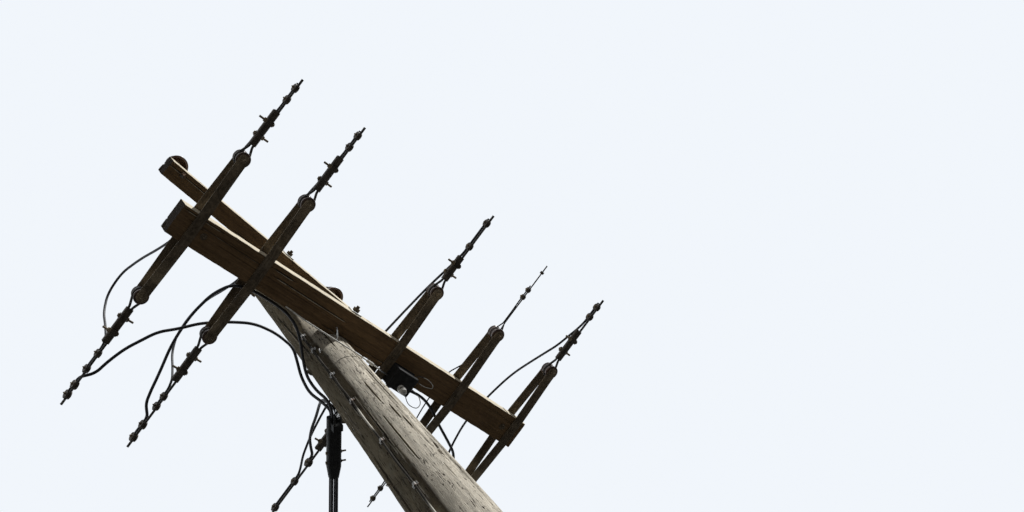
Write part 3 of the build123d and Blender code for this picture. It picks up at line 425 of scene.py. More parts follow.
def galvanised(name, deep, light, rust_from):
    """Dull zinc with a faint crystal pattern and a little rust."""
    finish = Finish(name, 0.5, 0.75)
    plain = finish.point()
    crystals = finish.cells(plain, 160.0, "F1")
    stains = finish.noise(plain, 24.0, 6.0, 0.65)
    tone = finish.ramp(crystals, [(0.1, deep), (0.9, light)])
    rust = finish.ramp(stains, [(rust_from, 0.0), (rust_from + 0.14, 1.0)])
    tone = finish.mix(rust, tone, RUST_STAIN)
    finish.bump(stains, 0.3, 0.0006)
    return finish.done(tone, finish.ramp(stains, [(0.3, 0.38), (0.7, 0.7)]))


def rusted_bar(name, grain):
    """Flat bar with an old brown skin of rust, thinner and paler where weather has worn it."""
    finish = Finish(name, 0.72, 0.1, shine=0.2)
    plain = finish.point()
    mottle = finish.noise(plain, grain, 8.0, 0.7)
    broad = finish.noise(plain, 9.0, 4.0, 0.55)
    runs = finish.noise(finish.point((0.02, 0.3, 0.02)), 2.0, 6.0, 0.6)
    tone = finish.ramp(mottle, OLD_RUST)
    tone = finish.shade(tone, broad, [(0.3, 0.7), (0.7, 1.2)])
    tone = finish.mix(finish.ramp(runs, [(0.5, 0.0), (0.72, 0.45)]), tone, RUST_RUN)
    reach = finish.maths("ABSOLUTE", finish.maths("ADD", finish.along("Y"), 0.25), 0.0)
    towards_spool = finish.ramp(reach, [(0.26, 0.0), (0.40, 1.0)])
    rubbed_and_sunlit = finish.maths("MULTIPLY", towards_spool, finish.ramp(broad, [(0.4, 0.1), (0.6, 0.75)]))
    tone = finish.mix(rubbed_and_sunlit, tone, RUBBED_STEEL)
    finish.bump(mottle, 0.5, 0.0014)
    return finish.done(tone, finish.ramp(mottle, [(0.3, 0.6), (0.7, 0.85)]))


def porcelain(name, deep, light):
    """Fired glaze: glossy, with faint clouding where it ran thin, patches of dirt, and dust with painted
    sunlight on the faces turned to the sun.
    """
    finish = Finish(name, 0.2, 0.0, 0.25, 0.38)
    plain = finish.point()
    cloud = finish.noise(plain, 30.0, 4.0, 0.5)
    dust = finish.noise(plain, 90.0, 6.0, 0.7)
    tone = finish.ramp(cloud, [(0.3, deep), (0.75, light)])
    grime = finish.ramp(finish.noise(plain, 14.0, 5.0, 0.6), [(0.5, 0.0), (0.8, 0.35)])
    tone = finish.mix(grime, tone, OLD_DIRT)
    # Faces turned to the sun are paler: settled dust with painted sunlight
    dust_and_sunlight = finish.ramp(finish.facing(DUST_AND_SUN_WAY), [(0.4, 0.0), (0.85, 0.55)])
    tone = finish.mix(dust_and_sunlight, tone, DUST_AND_SUNLIGHT_TONE)
    finish.bump(cloud, 0.15, 0.001)
    return finish.done(tone, finish.ramp(dust, [(0.35, 0.14), (0.75, 0.4)]))


def weathered_alloy(name, deep, light, metallic, strand=0.0):
    """Cast or drawn alloy gone dull outdoors, with laid strands where it is a conductor."""
    finish = Finish(name, 0.65, metallic, shine=0.2)
    plain = finish.point()
    grain = finish.noise(plain, 260.0, 3.0, 0.6)
    stains = finish.noise(plain, 34.0, 6.0, 0.6)
    tone = finish.ramp(stains, [(0.3, deep), (0.7, light)])
    finish.bump(grain, 0.35, 0.0004)
    if strand:
        lay = finish.bands(finish.point((1.0, 1.6, 1.0)), strand, "DIAGONAL")
        tone = finish.shade(tone, lay, [(0.0, 0.45), (0.35, 1.0)])
        finish.bump(lay, 0.8, 0.0012)
    return finish.done(tone, finish.ramp(stains, [(0.3, 0.4), (0.7, 0.68)]))


def sheath(name, deep, light, roughness, shine):
    """Extruded plastic: smooth, faintly dusty and bleached in streaks."""
    finish = Finish(name, roughness, shine=shine)
    plain = finish.point()
    dust = finish.noise(plain, 45.0, 5.0, 0.6)
    fine = finish.noise(plain, 300.0, 2.0, 0.5)
    tone = finish.ramp(dust, [(0.35, deep), (0.75, light)])
    finish.bump(fine, 0.12, 0.0003)
    return finish.done(tone, finish.ramp(dust, [(0.3, roughness * 0.8), (0.7, min(roughness * 1.3, 1.0))]))


def lead_sheath():
    """The thin service lead: pale where the sun bleached it, black at its joint and by the fuse."""
    finish = Finish("service_lead_sheath", 0.55)
    plain = finish.point()
    dust = finish.noise(plain, 45.0, 5.0, 0.6)
    dark = finish.ramp(finish.maths("ADD", finish.along("X"), 0.2),
                       [(0.40, 0.0), (0.412, 1.0), (0.79, 1.0), (0.80, 0.0)])
    tone = finish.mix(dark, finish.ramp(dust, BLEACHED_LEAD), finish.ramp(dust, BLACK_LEAD))
    finish.bump(dust, 0.12, 0.0003)
    return finish.done(tone)


def pole_cable_sheath():
    """The cable clipped to the shaft: dark with grime and painted shade, with painted sunlight where it bows
    out between two clips.
    """
    finish = Finish("grimy_painted_shade_sheath", 0.8, shine=0.08)
    dust = finish.noise(finish.point(), 45.0, 5.0, 0.6)
    # Dark tone: grime with painted shade
    tone = finish.ramp(dust, GRIMY_AND_SHADED_CABLE)
    # Two bands of height are painted pale, as painted sunlight where the cable bows out between clips
    share = finish.maths("MULTIPLY", finish.along("Z"), 0.1)
    rubbed_and_sunlit = finish.ramp(share, [(0.594, 0.0), (0.600, 1.0), (0.616, 1.0), (0.622, 0.0),
                                 (0.695, 0.0), (0.699, 1.0), (0.718, 1.0), (0.723, 0.0)])
    tone = finish.mix(rubbed_and_sunlit, tone, PAINTED_SUNLIT_CABLE)
    finish.bump(dust, 0.12, 0.0003)
    return finish.done(tone)


POLE_WOOD = pole_timber()
ARM_WOOD = arm_timber("crossarm_wood", 0.0)
TURNED_ARM_WOOD = arm_timber("turned_crossarm_wood", TOP_ARM["turn"])
ZINC = galvanised("galvanised_steel", (0.34, 0.34, 0.33), (0.58, 0.58, 0.56), 0.58)
DULL_ZINC = galvanised("dull_pin_steel", (0.07, 0.065, 0.06), (0.16, 0.15, 0.14), 0.45)
RUSTED_BAR = rusted_bar("strap_steel", 38.0)
RUSTY_BOLT = rusted_bar("rusty_bolt_steel", 90.0)
BROWN_GLAZE = porcelain("brown_porcelain", (0.045, 0.024, 0.016), (0.16, 0.085, 0.05))
WHITE_GLAZE = porcelain("white_porcelain", (0.70, 0.68, 0.62), (0.86, 0.85, 0.81))
CONDUCTOR = weathered_alloy("conductor_aluminium", (0.04, 0.037, 0.034), (0.14, 0.133, 0.122), 0.5, 60.0)
CLAMP_ALLOY = weathered_alloy("clamp_alloy", (0.035, 0.029, 0.023), (0.13, 0.108, 0.085), 0.25)
BLACK_CABLE = sheath("black_insulation", (0.012, 0.012, 0.014), (0.045, 0.044, 0.045), 0.45, 0.35)
BLACK_MOULDING = sheath("black_moulding", (0.014, 0.014, 0.014), (0.04, 0.04, 0.038), 0.6, 0.15)
GREY_SHEATH = sheath("grey_sheath", (0.52, 0.50, 0.44), (0.70, 0.68, 0.62), 0.55, 0.4)
LEAD_SHEATH = lead_sheath()
GRIMY_AND_SHADED_SHEATH = pole_cable_sheath()
DULL_CLIP = galvanised("dull_clip_steel", (0.13, 0.125, 0.115), (0.27, 0.26, 0.245), 0.52)

SLOT_FINISH = {
    "pole_wood": POLE_WOOD,
    "crossarm_wood": ARM_WOOD,
    "galvanised_steel": ZINC,
    "rusty_bolt_steel": RUSTY_BOLT,
    "strap_steel": RUSTED_BAR,
    "brown_porcelain": BROWN_GLAZE,
    "white_porcelain": WHITE_GLAZE,
    "conductor_aluminium": CONDUCTOR,
    "clamp_alloy": CLAMP_ALLOY,
    "black_insulation": BLACK_CABLE,
    "black_moulding": BLACK_MOULDING,
    "grey_sheath": GREY_SHEATH,
}


def dress_nodes():
    """Every CAD node takes the finish of its own slot."""
    for part in frame["record"]["subparts"]:
        node = NODES[part["node"]]
        node.data.materials.clear()
        node.data.materials.append(SLOT_FINISH[part["material_slot"]])
    NODES["insulator_pins"].data.materials[0] = DULL_ZINC
    NODES["pole_cable"].data.materials[0] = GRIMY_AND_SHADED_SHEATH
    NODES["pole_clips"].data.materials[0] = DULL_CLIP
    NODES["service_leads"].data.materials[0] = LEAD_SHEATH


# Bench work shared by the pieces

def take(piece):
    """Deselects everything else and makes the piece the one that is worked on."""
    bpy.ops.object.select_all(action="DESELECT")
    piece.select_set(True)
    bpy.context.view_layer.objects.active = piece
    return piece


def open_mesh(piece):
    """Into edit mode, with nothing selected."""
    take(piece)
    bpy.ops.object.mode_set(mode="EDIT")
    bpy.ops.mesh.select_mode(type="VERT")
    bpy.ops.mesh.select_all(action="DESELECT")


def close_mesh():
    """Back to object mode."""
    bpy.ops.object.mode_set(mode="OBJECT")


def pick(piece, mode, test):
    """Selects the corners, edges or faces that pass a test, in edit mode."""
    bpy.ops.mesh.select_mode(type=mode)
    bpy.ops.mesh.select_all(action="DESELECT")
    mesh = bmesh.from_edit_mesh(piece.data)
    for part in {"VERT": mesh.verts, "EDGE": mesh.edges, "FACE": mesh.faces}[mode]:
        part.select_set(test(part))
    mesh.select_flush_mode()
    bmesh.update_edit_mesh(piece.data)


def cut(place, normal):
    """Cuts the whole mesh along a plane, in edit mode."""
    bpy.ops.mesh.select_all(action="SELECT")
    bpy.ops.mesh.bisect(plane_co=place, plane_no=normal)


def ends(edge):
    """Where an edge's two corners are."""
    return edge.verts[0].co, edge.verts[1].co


def length_along(edge, axis):
    """How long an edge is along one axis: 0, 1 or 2."""
    first, second = ends(edge)
    return abs(first[axis] - second[axis])


def apply_modifier(piece, kind, **settings):
    """Adds a modifier, sets it and applies it."""
    take(piece)
    modifier = piece.modifiers.new(kind.lower(), kind)
    for key, value in settings.items():
        setattr(modifier, key, value)
    bpy.ops.object.modifier_apply(modifier=modifier.name)


def hand_over(piece, name, finish, slot, *replaced):
    """Names a finished piece, gives it its finish if it has none and puts it in place of its CAD nodes."""
    piece.name = name
    piece.data.name = name
    if finish:
        piece.data.materials.clear()
        piece.data.materials.append(finish)
    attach(piece, "root")
    if replaced:
        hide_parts(*replaced)
    return piece


def ease_edges(piece, width, segments, degrees):
    """Bevels the edges that are sharper than an angle."""
    apply_modifier(piece, "BEVEL", width=width, segments=segments, limit_method="ANGLE",
                   angle_limit=math.radians(degrees), harden_normals=False)


def smooth(piece, degrees):
    """Smooths the shading over all edges that are blunter than an angle."""
    take(piece)
    bpy.ops.object.shade_smooth_by_angle(angle=math.radians(degrees))


def settle(piece):
    """Puts the piece's place, turn and scale into its mesh."""
    take(piece)
    bpy.ops.object.transform_apply(location=True, rotation=True, scale=True)
    return piece


def block(size, middle):
    """A plain block about its middle."""
    bpy.ops.object.select_all(action="DESELECT")
    bpy.ops.mesh.primitive_cube_add(size=1.0, location=middle)
    piece = bpy.context.object
    piece.scale = size
    return settle(piece)


def round_bar(sides, radius, length, middle, turn=(0.0, 0.0, 0.0)):
    """A plain cylinder about its middle, upright unless turned."""
    bpy.ops.object.select_all(action="DESELECT")
    bpy.ops.mesh.primitive_cylinder_add(vertices=sides, radius=radius, depth=length, location=middle,
                                        rotation=turn)
    return settle(bpy.context.object)


def twin(piece, shift):
    """A copy with its own mesh, set down elsewhere."""
    other = piece.copy()
    other.data = piece.data.copy()
    bpy.context.scene.collection.objects.link(other)
    other.location = shift
    return settle(other)


def join(pieces):
    """Makes several pieces one mesh."""
    bpy.ops.object.select_all(action="DESELECT")
    for piece in pieces:
        piece.select_set(True)
    bpy.context.view_layer.objects.active = pieces[0]
    bpy.ops.object.join()
    return pieces[0]


def turned_piece(outline, sides):
    """A ring drawn along an outline in millimetres and resized at each step, as on a lathe."""
    radius, height = (value / 1000 for value in outline[0])
    bpy.ops.object.select_all(action="DESELECT")
    bpy.ops.mesh.primitive_circle_add(vertices=sides, radius=radius, location=(0.0, 0.0, height))
    piece = settle(bpy.context.object)
    bpy.ops.object.mode_set(mode="EDIT")
    bpy.ops.mesh.select_mode(type="VERT")
    bpy.ops.mesh.select_all(action="SELECT")
    for (wide, low), (narrow, high) in zip(outline, outline[1:]):
        bpy.ops.mesh.extrude_region_move(TRANSFORM_OT_translate={"value": (0.0, 0.0, (high - low) / 1000)})
        if narrow == 0:
            bpy.ops.mesh.merge(type="CENTER")
        elif narrow != wide:
            ratio = narrow / wide
            bpy.ops.transform.resize(value=(ratio, ratio, 1.0), center_override=(0.0, 0.0, high / 1000))
    close_mesh()
    return piece


# Timber

def store_checks(piece, weights):
    """Keeps the depth of the checks as a vertex group for the modifier and as a number for the finish."""
    group = piece.vertex_groups.new(name="checks")
    for index in np.nonzero(weights > 0)[0]:
        group.add([int(index)], float(weights[index]), "REPLACE")
    layer = piece.data.attributes.new("check", "FLOAT", "POINT")
    layer.data.foreach_set("value", np.clip(weights * 1.3, 0.0, 1.0).astype(np.float32))


def corner_places(piece):
    """All corners of a mesh as an array."""
    places = np.empty(len(piece.data.vertices) * 3)
    piece.data.vertices.foreach_get("co", places)
    return places.reshape(-1, 3)


def sink_checks(piece, depth):
    """Presses the checks into the wood."""
    apply_modifier(piece, "DISPLACE", strength=-depth, mid_level=0.0, vertex_group="checks")


def wear_surface(piece, amount, middle, name, size, group):
    """Moves the surface in and out by a cloud pattern, as far as a vertex group allows."""
    clouds = bpy.data.textures.new(name, "CLOUDS")
    clouds.noise_scale = size
    apply_modifier(piece, "DISPLACE", strength=amount, mid_level=middle, texture=clouds,
                   texture_coords="LOCAL", vertex_group=group)


# Long checks that show: compass angle in degrees, low and high level, columns wide, depth share, drift
SEEN_CHECKS = [(-125.5, 6.9, 7.16, 1, 0.8, 0.0), (-113.0, 6.42, 6.78, 1, 1.0, 26.0),
               (-127.0, 6.28, 6.45, 1, 0.9, 40.0), (-80.0, 6.45, 6.68, 1, 0.9, 40.0),
               (165.0, 7.95, 8.75, 3, 1.0, -20.0), (-108.0, 7.05, 7.75, 1, 0.7, 3.0),
               (-96.0, 6.1, 7.35, 2, 0.9, 3.0), (-136.0, 7.1, 7.5, 1, 0.6, -4.0),
               (178.0, 5.2, 6.9, 2, 0.8, 2.0)]
SMALL_CHECKS = 150
TOP_SPLITS = 9
CHECK_FADE = 0.16


def pole_checks(places):
    """How deep the drying checks are at each corner of the shaft."""
    dice = random.Random(11)
    checks = list(SEEN_CHECKS)
    for _ in range(SMALL_CHECKS):
        low = dice.uniform(0.2, 9.4)
        long_check = dice.random() < 0.22
        length = dice.uniform(0.9, 2.6) if long_check else dice.uniform(0.15, 0.7)
        checks.append((dice.uniform(-180, 180), low, min(low + length, 9.74), 2 if long_check else 1,
                       dice.uniform(0.35, 1.0), dice.uniform(-3, 3)))
    for _ in range(TOP_SPLITS):
        checks.append((dice.uniform(-180, 180), dice.uniform(8.7, 9.3), 9.76, 2, 1.0, 0.0))
    angle = np.degrees(np.arctan2(places[:, 1], places[:, 0]))
    column = np.round(angle * POLE_COLUMNS / 360)
    level = places[:, 2]
    weights = np.zeros(len(places))
    for compass, low, high, wide, depth, drift in checks:
        wobble = 0.9 * np.sin(level * 2.3 + compass)
        centre = np.round((compass + drift * (level - low)) * POLE_COLUMNS / 360 + wobble)
        away = np.abs((column - centre + POLE_COLUMNS / 2) % POLE_COLUMNS - POLE_COLUMNS / 2)
        across = np.clip(1.0 - away / (wide * 0.5 + 0.5), 0.0, 1.0)
        along = np.clip(np.minimum(level - low, high - level) / CHECK_FADE, 0.0, 1.0)
        if high > POLE_HEIGHT:
            along = np.clip((level - low) / 0.3, 0.0, 1.0)
        weights = np.maximum(weights, depth * across * along)
    near_axis = np.hypot(places[:, 0], places[:, 1]) < 0.02
    weights[near_axis | (level < FOOT_LEVEL)] = 0.0
    return weights


def make_shaft():
    """The pole: a cylinder cut into rings, tapered, notched for the arms, then checked and worn."""
    shaft = round_bar(POLE_COLUMNS, POLE_RADII[0][1], POLE_HEIGHT, (0.0, 0.0, POLE_HEIGHT / 2))
    open_mesh(shaft)
    for share, _ in POLE_RADII[1:-1]:
        cut((0.0, 0.0, share * POLE_HEIGHT), UPRIGHT)
    for share, radius in POLE_RADII[1:]:
        level = share * POLE_HEIGHT
        pick(shaft, "VERT", lambda corner: abs(corner.co.z - level) < AT_LEVEL)
        ratio = radius / POLE_RADII[0][1]
        bpy.ops.transform.resize(value=(ratio, ratio, 1.0), center_override=(0.0, 0.0, level))
    pick(shaft, "FACE", lambda face: face.normal.z > 0.9)
    bpy.ops.mesh.inset(thickness=POLE_TOP_BEVEL, depth=0.0)
    for _ in range(TOP_RINGS):
        bpy.ops.mesh.inset(thickness=TOP_RING_WIDTH, depth=0.0)
    rim = POLE_RADII[-1][1] - 0.001
    pick(shaft, "VERT", lambda corner: corner.co.z > POLE_HEIGHT - AT_LEVEL and corner.co.xy.length > rim)
    bpy.ops.transform.translate(value=(0.0, 0.0, -POLE_TOP_BEVEL))
    for row in range(1, int(POLE_HEIGHT / POLE_ROW)):
        cut((0.0, 0.0, row * POLE_ROW + POLE_ROW_START), UPRIGHT)
    close_mesh()
    notch_shaft(shaft)
    places = corner_places(shaft)
    store_checks(shaft, pole_checks(places))
    body = shaft.vertex_groups.new(name="above_foot")
    body.add([int(index) for index in np.nonzero(places[:, 2] > FOOT_LEVEL)[0]], 1.0, "REPLACE")
    sink_checks(shaft, SHAFT_CHECK_DEPTH)
    wear_surface(shaft, SHAFT_SWELL, 1.0, "shaft_swell", 0.5, "above_foot")
    wear_surface(shaft, SHAFT_WEAR, 1.0, "shaft_wear", 0.045, "above_foot")
    smooth(shaft, 30)
    hand_over(shaft, "weathered_pole", POLE_WOOD, "pole_wood", "pole")


def notch_shaft(shaft):
    """Cuts the flat gains for both crossarms and the seats of the rear washers."""
    cutters = []
    for arm in (LOW_ARM, TOP_ARM):
        back = arm_back(arm)
        middle = (arm["bottom"] + arm["top"]) / 2
        gain = block((*GAIN_CUTTER, arm["top"] - arm["bottom"]), (0.0, back - GAIN_CUTTER[1] / 2, middle))
        radius = pole_radius(middle)
        seat = radius - SPOT_RADIUS ** 2 / (2 * radius) - 0.001
        spot_middle = (0.0, seat + SPOT_CUTTER / 2, middle)
        spot = round_bar(48, SPOT_RADIUS, SPOT_CUTTER, spot_middle, (math.pi / 2, 0.0, 0.0))
        pair = join([gain, spot])
        pair.rotation_euler = (0.0, 0.0, arm["turn"])
        cutters.append(settle(pair))
    cutter = join(cutters)
    apply_modifier(shaft, "BOOLEAN", object=cutter, operation="DIFFERENCE", solver="EXACT")
    bpy.data.objects.remove(cutter)


def arm_checks(places, low, high, seed, count):
    dice = random.Random(seed)
    weights = np.zeros(len(places))
    span = high[0] - low[0]
    for _ in range(count):
        on_side = dice.random() < 0.35
        axis = 2 if on_side else 1
        other = 3 - axis
        steps = round((high[axis] - low[axis]) / ARM_GRID)
        line = dice.randint(3, steps - 3)
        face = high[other] if dice.random() < 0.7 else low[other]
        at_end = dice.random() < 0.4
        length = dice.uniform(0.15, 0.6) if at_end else dice.uniform(0.1, 0.9)
        start = dice.uniform(low[0], high[0] - length)
        if at_end:
            start = low[0] - 0.05 if dice.random() < 0.5 else high[0] - length + 0.05
        drift = dice.uniform(-4, 4) / span
        depth = dice.uniform(0.3, 1.0)
        centre = np.round(line + drift * (places[:, 0] - start))
        row = np.round((places[:, axis] - low[axis]) / ((high[axis] - low[axis]) / steps))
        along = np.clip(np.minimum(places[:, 0] - start, start + length - places[:, 0]) / 0.07, 0.0, 1.0)
        near = np.clip(1.0 - np.abs(places[:, other] - face) / 0.05, 0.0, 1.0)
        weights = np.maximum(weights, depth * along * near * (row == centre))
    return weights


def make_arm(name, node, arm, seed, count, finish):
    """A sawn crossarm: a block with eased edges, gridded, then checked, split at its ends and worn."""
    back = arm_back(arm)
    front = back - arm["width"]
    low = (arm["left"], front, arm["bottom"])
    high = (arm["right"], back, arm["top"])
    size = [end - start for start, end in zip(low, high)]
    timber = block(size, [(start + end) / 2 for start, end in zip(low, high)])
    open_mesh(timber)
    pick(timber, "EDGE", lambda edge: length_along(edge, 0) > 0.5)
    bpy.ops.mesh.bevel(offset=ARM_EDGE_BEVEL, segments=2, affect="EDGES")
    if arm is LOW_ARM:

        def at_left_back_corner(edge):
            return (length_along(edge, 2) > 0.05
                    and all(end.x < low[0] + 0.001 and end.y > back - 0.007 for end in ends(edge)))

        pick(timber, "EDGE", at_left_back_corner)
        bpy.ops.mesh.bevel(offset=ARM_CORNER_BEVEL, segments=2, affect="EDGES")
    for axis, step in ((1, ARM_GRID), (2, ARM_GRID), (0, ARM_ROW)):
        steps = round(size[axis] / step)
        normal = [0.0, 0.0, 0.0]
        normal[axis] = 1.0
        for line in range(1, steps):
            place = [0.0, 0.0, 0.0]
            place[axis] = low[axis] + size[axis] * line / steps
            cut(place, normal)
    close_mesh()
    places = corner_places(timber)
    weights = arm_checks(places, low, high, seed, count)
    edge_y = np.minimum(places[:, 1] - low[1], high[1] - places[:, 1])
    edge_z = np.minimum(places[:, 2] - low[2], high[2] - places[:, 2])
    worn = np.clip(1.0 - np.maximum(edge_y, edge_z) / ARM_WEAR_REACH, ARM_FACE_WEAR, 1.0)
    store_checks(timber, weights)
    group = timber.vertex_groups.new(name="worn_edges")
    for index, weight in enumerate(worn):
        group.add([index], float(weight), "REPLACE")
    sink_checks(timber, ARM_CHECK_DEPTH)
    wear_surface(timber, ARM_WEAR, ARM_WEAR_MIDDLE, name + "_wear", 0.05, "worn_edges")
    timber.rotation_euler = (0.0, 0.0, arm["turn"])
    smooth(settle(timber), 32)
    hand_over(timber, name, finish, "crossarm_wood", node)


# Porcelain

def close_turned(piece, ring=False):
    """Closes a turned piece, or merges the seam of a ring, and points its faces outwards."""
    open_mesh(piece)
    bpy.ops.mesh.select_all(action="SELECT")
    if ring:
        bpy.ops.mesh.remove_doubles(threshold=0.00001)
    else:
        pick(piece, "EDGE", lambda edge: len(edge.link_faces) < 2)
        bpy.ops.mesh.edge_face_add()
        bpy.ops.mesh.select_all(action="SELECT")
    bpy.ops.mesh.normals_make_consistent(inside=False)
    close_mesh()


def round_off(piece):
    """Rounds a closed turned piece."""
    apply_modifier(piece, "SUBSURF", levels=1, render_levels=1)
    take(piece)
    bpy.ops.object.shade_smooth()


def make_bells():
    """The three pin insulators: petticoats turned once, then set on their pins."""
    bell = turned_piece(BELL_OUTLINE, 40)
    close_turned(bell)
    round_off(bell)
    back = arm_back(TOP_ARM)
    forward = back - TOP_ARM["width"] / 2 - PIN_FORWARD
    turn = Matrix.Rotation(TOP_ARM["turn"], 4, "Z")
    copies = [twin(bell, turn @ Vector((x, forward, BELL_LEVEL))) for x in PIN_PLACES]
    bpy.data.objects.remove(bell)
    hand_over(join(copies), "pin_insulators_glazed", BROWN_GLAZE, "brown_porcelain", "pin_insulators")


def make_spools():
    """The ten spool insulators, turned once and copied to both ends of each strap pair."""
    spool = turned_piece(SPOOL_OUTLINE + [SPOOL_OUTLINE[0]], 32)
    close_turned(spool, True)
    round_off(spool)
    for letter in "abcde":
        node = "spools_" + letter
        low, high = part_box(node)
        middle = (low[2] + high[2]) / 2
        across = (low[0] + high[0]) / 2
        sides = (low[1] + SPOOL_RADIUS, high[1] - SPOOL_RADIUS)
        pair = [twin(spool, (across, side, middle)) for side in sides]
        hand_over(join(pair), node + "_glazed", BROWN_GLAZE, "brown_porcelain", node)
    bpy.data.objects.remove(spool)


# Steelwork and castings with eased edges

def eased_copy(node, name, width, segments, finish, slot):
    """A merged copy of a CAD node whose sharp edges are eased, as forged and cast parts have them."""
    piece = NODES[node].copy()
    piece.data = NODES[node].data.copy()
    piece.parent = None
    bpy.context.scene.collection.objects.link(piece)
    open_mesh(piece)
    bpy.ops.mesh.select_all(action="SELECT")
    bpy.ops.mesh.customdata_custom_splitnormals_clear()
    bpy.ops.mesh.remove_doubles(threshold=0.00002)
    bpy.ops.mesh.dissolve_limited(angle_limit=math.radians(1.0))
    close_mesh()
    ease_edges(piece, width, segments, 38)
    smooth(piece, 35)
    hand_over(piece, name, finish, slot, node)


def make_fuse():
    """The porcelain fuse carrier: turned, with a dark slot cut into one side."""
    fuse = turned_piece(FUSE_OUTLINE, 28)
    low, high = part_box("service_fuse")
    foot = Vector(((low[0] + high[0]) / 2, (low[1] + high[1]) / 2, low[2]))
    fuse.location = foot
    close_turned(settle(fuse))
    middle = foot + Vector((0.0, 0.0, FUSE_SLOT_LEVEL))

    def in_slot(face):
        out = face.calc_center_median() - middle
        flat = Vector((out.x, out.y, 0.0))
        return (abs(out.z) < FUSE_SLOT_HALF_HEIGHT and flat.length > 0.018
                and flat.normalized().dot(FUSE_SLOT_WAY) > 0.86)

    fuse.data.materials.append(WHITE_GLAZE)
    fuse.data.materials.append(BLACK_MOULDING)
    open_mesh(fuse)
    pick(fuse, "FACE", in_slot)
    bpy.ops.mesh.inset(thickness=0.0012, depth=-FUSE_SLOT_DEPTH)
    fuse.active_material_index = 1
    bpy.ops.object.material_slot_assign()
    close_mesh()
    ease_edges(fuse, 0.0007, 1, 40)
    smooth(fuse, 40)
    hand_over(fuse, "service_fuse_carrier", None, "white_porcelain", "service_fuse")


def make_box_lid():
    """The fuse box's lid: a shallow dished plate under the box with a hinge barrel and two screws."""
    low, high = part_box("service_box")
    bottom = low[2]
    width = high[0] - low[0] - LID_MARGIN
    depth = high[1] - low[1] - LID_MARGIN / 2
    middle = (low[0] + width / 2, high[1] - depth / 2, bottom + LID_LEVEL)
    lid = block((width + 0.004, depth + 0.004, LID_THICK), middle)
    open_mesh(lid)
    pick(lid, "FACE", lambda face: face.normal.z < -0.9)
    bpy.ops.mesh.inset(thickness=LID_RIM, depth=0.0)
    bpy.ops.mesh.inset(thickness=0.003, depth=-0.003)
    bpy.ops.mesh.inset(thickness=LID_RIM, depth=0.0)
    pick(lid, "FACE", lambda face: abs(face.normal.x) > 0.9)
    bpy.ops.mesh.inset(thickness=0.006, depth=-0.0015)
    close_mesh()
    ease_edges(lid, 0.0018, 2, 40)
    parts = [lid]
    for side in (-0.3, 0.3):
        place = (middle[0] + side * width, middle[1] - depth * 0.42, bottom + 0.004)
        screw = round_bar(20, SCREW_RADIUS, 0.005, place)
        open_mesh(screw)
        pick(screw, "FACE", lambda face: face.normal.z < -0.9)
        bpy.ops.mesh.inset(thickness=0.0012, depth=0.001)
        close_mesh()
        parts.append(screw)
    place = (middle[0], high[1] - 0.004, bottom + 0.03)
    hinge = round_bar(16, HINGE_RADIUS, width * 0.6, place, (0.0, math.pi / 2, 0.0))
    open_mesh(hinge)
    for share in (-0.12, 0.12):
        cut((middle[0] + share * width, 0.0, 0.0), (1.0, 0.0, 0.0))
    pick(hinge, "FACE", lambda face: abs(face.calc_center_median().x - middle[0]) < 0.1 * width)
    bpy.ops.mesh.extrude_region_shrink_fatten(TRANSFORM_OT_shrink_fatten={"value": 0.0012})
    close_mesh()
    parts.append(hinge)
    whole = join(parts)
    smooth(whole, 40)
    hand_over(whole, "service_box_lid", BLACK_MOULDING, "black_moulding")


def bent_wire(points, radius, name, finish, slot):
    """A stiff wire or nail drawn through a few points, made a mesh."""
    curve = bpy.data.curves.new(name, "CURVE")
    curve.dimensions = "3D"
    curve.bevel_depth = radius
    curve.bevel_resolution = 3
    curve.use_fill_caps = True
    spline = curve.splines.new("NURBS")
    spline.points.add(len(points) - 1)
    for corner, place in zip(spline.points, points):
        corner.co = (*place, 1.0)
    spline.order_u = 3
    spline.use_endpoint_u = True
    wire = bpy.data.objects.new(name, curve)
    bpy.context.scene.collection.objects.link(wire)
    take(wire)
    bpy.ops.object.convert(target="MESH")
    wire = bpy.context.object
    bpy.ops.object.shade_smooth()
    return hand_over(wire, name, finish, slot)


def on_shaft(compass, level, out):
    """A point at a compass angle in degrees and a height, so far out of the shaft's surface."""
    angle = math.radians(compass)
    reach = pole_radius(level) + out
    return Vector((reach * math.cos(angle), reach * math.sin(angle), level))


# Nails and wire ends left in the wood: points by compass angle, height and way out of the surface
NAIL_POINTS = [(-118, 8.005, -0.02), (-118, 8.005, 0.015), (-118, 8.025, 0.032), (-116, 8.05, 0.045),
               (-113.5, 8.08, 0.048), (-112, 8.092, 0.04)]
STAPLE_POINTS = [(-166, 7.95, -0.02), (-166, 7.955, 0.012), (-167, 7.945, 0.02), (-169, 7.93, 0.018),
                 (-171, 7.925, 0.006)]
TIE_WIRE_POINTS = [(140, 6.62, -0.015), (140, 6.63, 0.02), (143, 6.60, 0.03), (150, 6.55, 0.022),
                   (158, 6.52, 0.012), (163, 6.53, -0.01)]


def make_nails():
    """A bent nail and a staple below the lower crossarm, and a curl of old tie wire further down."""
    for points, radius, name, finish, slot in (
            (NAIL_POINTS, 0.0045, "bent_nail", ZINC, "galvanised_steel"),
            (STAPLE_POINTS, 0.003, "bent_staple", ZINC, "galvanised_steel"),
            (TIE_WIRE_POINTS, 0.002, "old_tie_wire", RUSTY_BOLT, "rusty_bolt_steel")):
        bent_wire([on_shaft(*point) for point in points], radius, name, finish, slot)


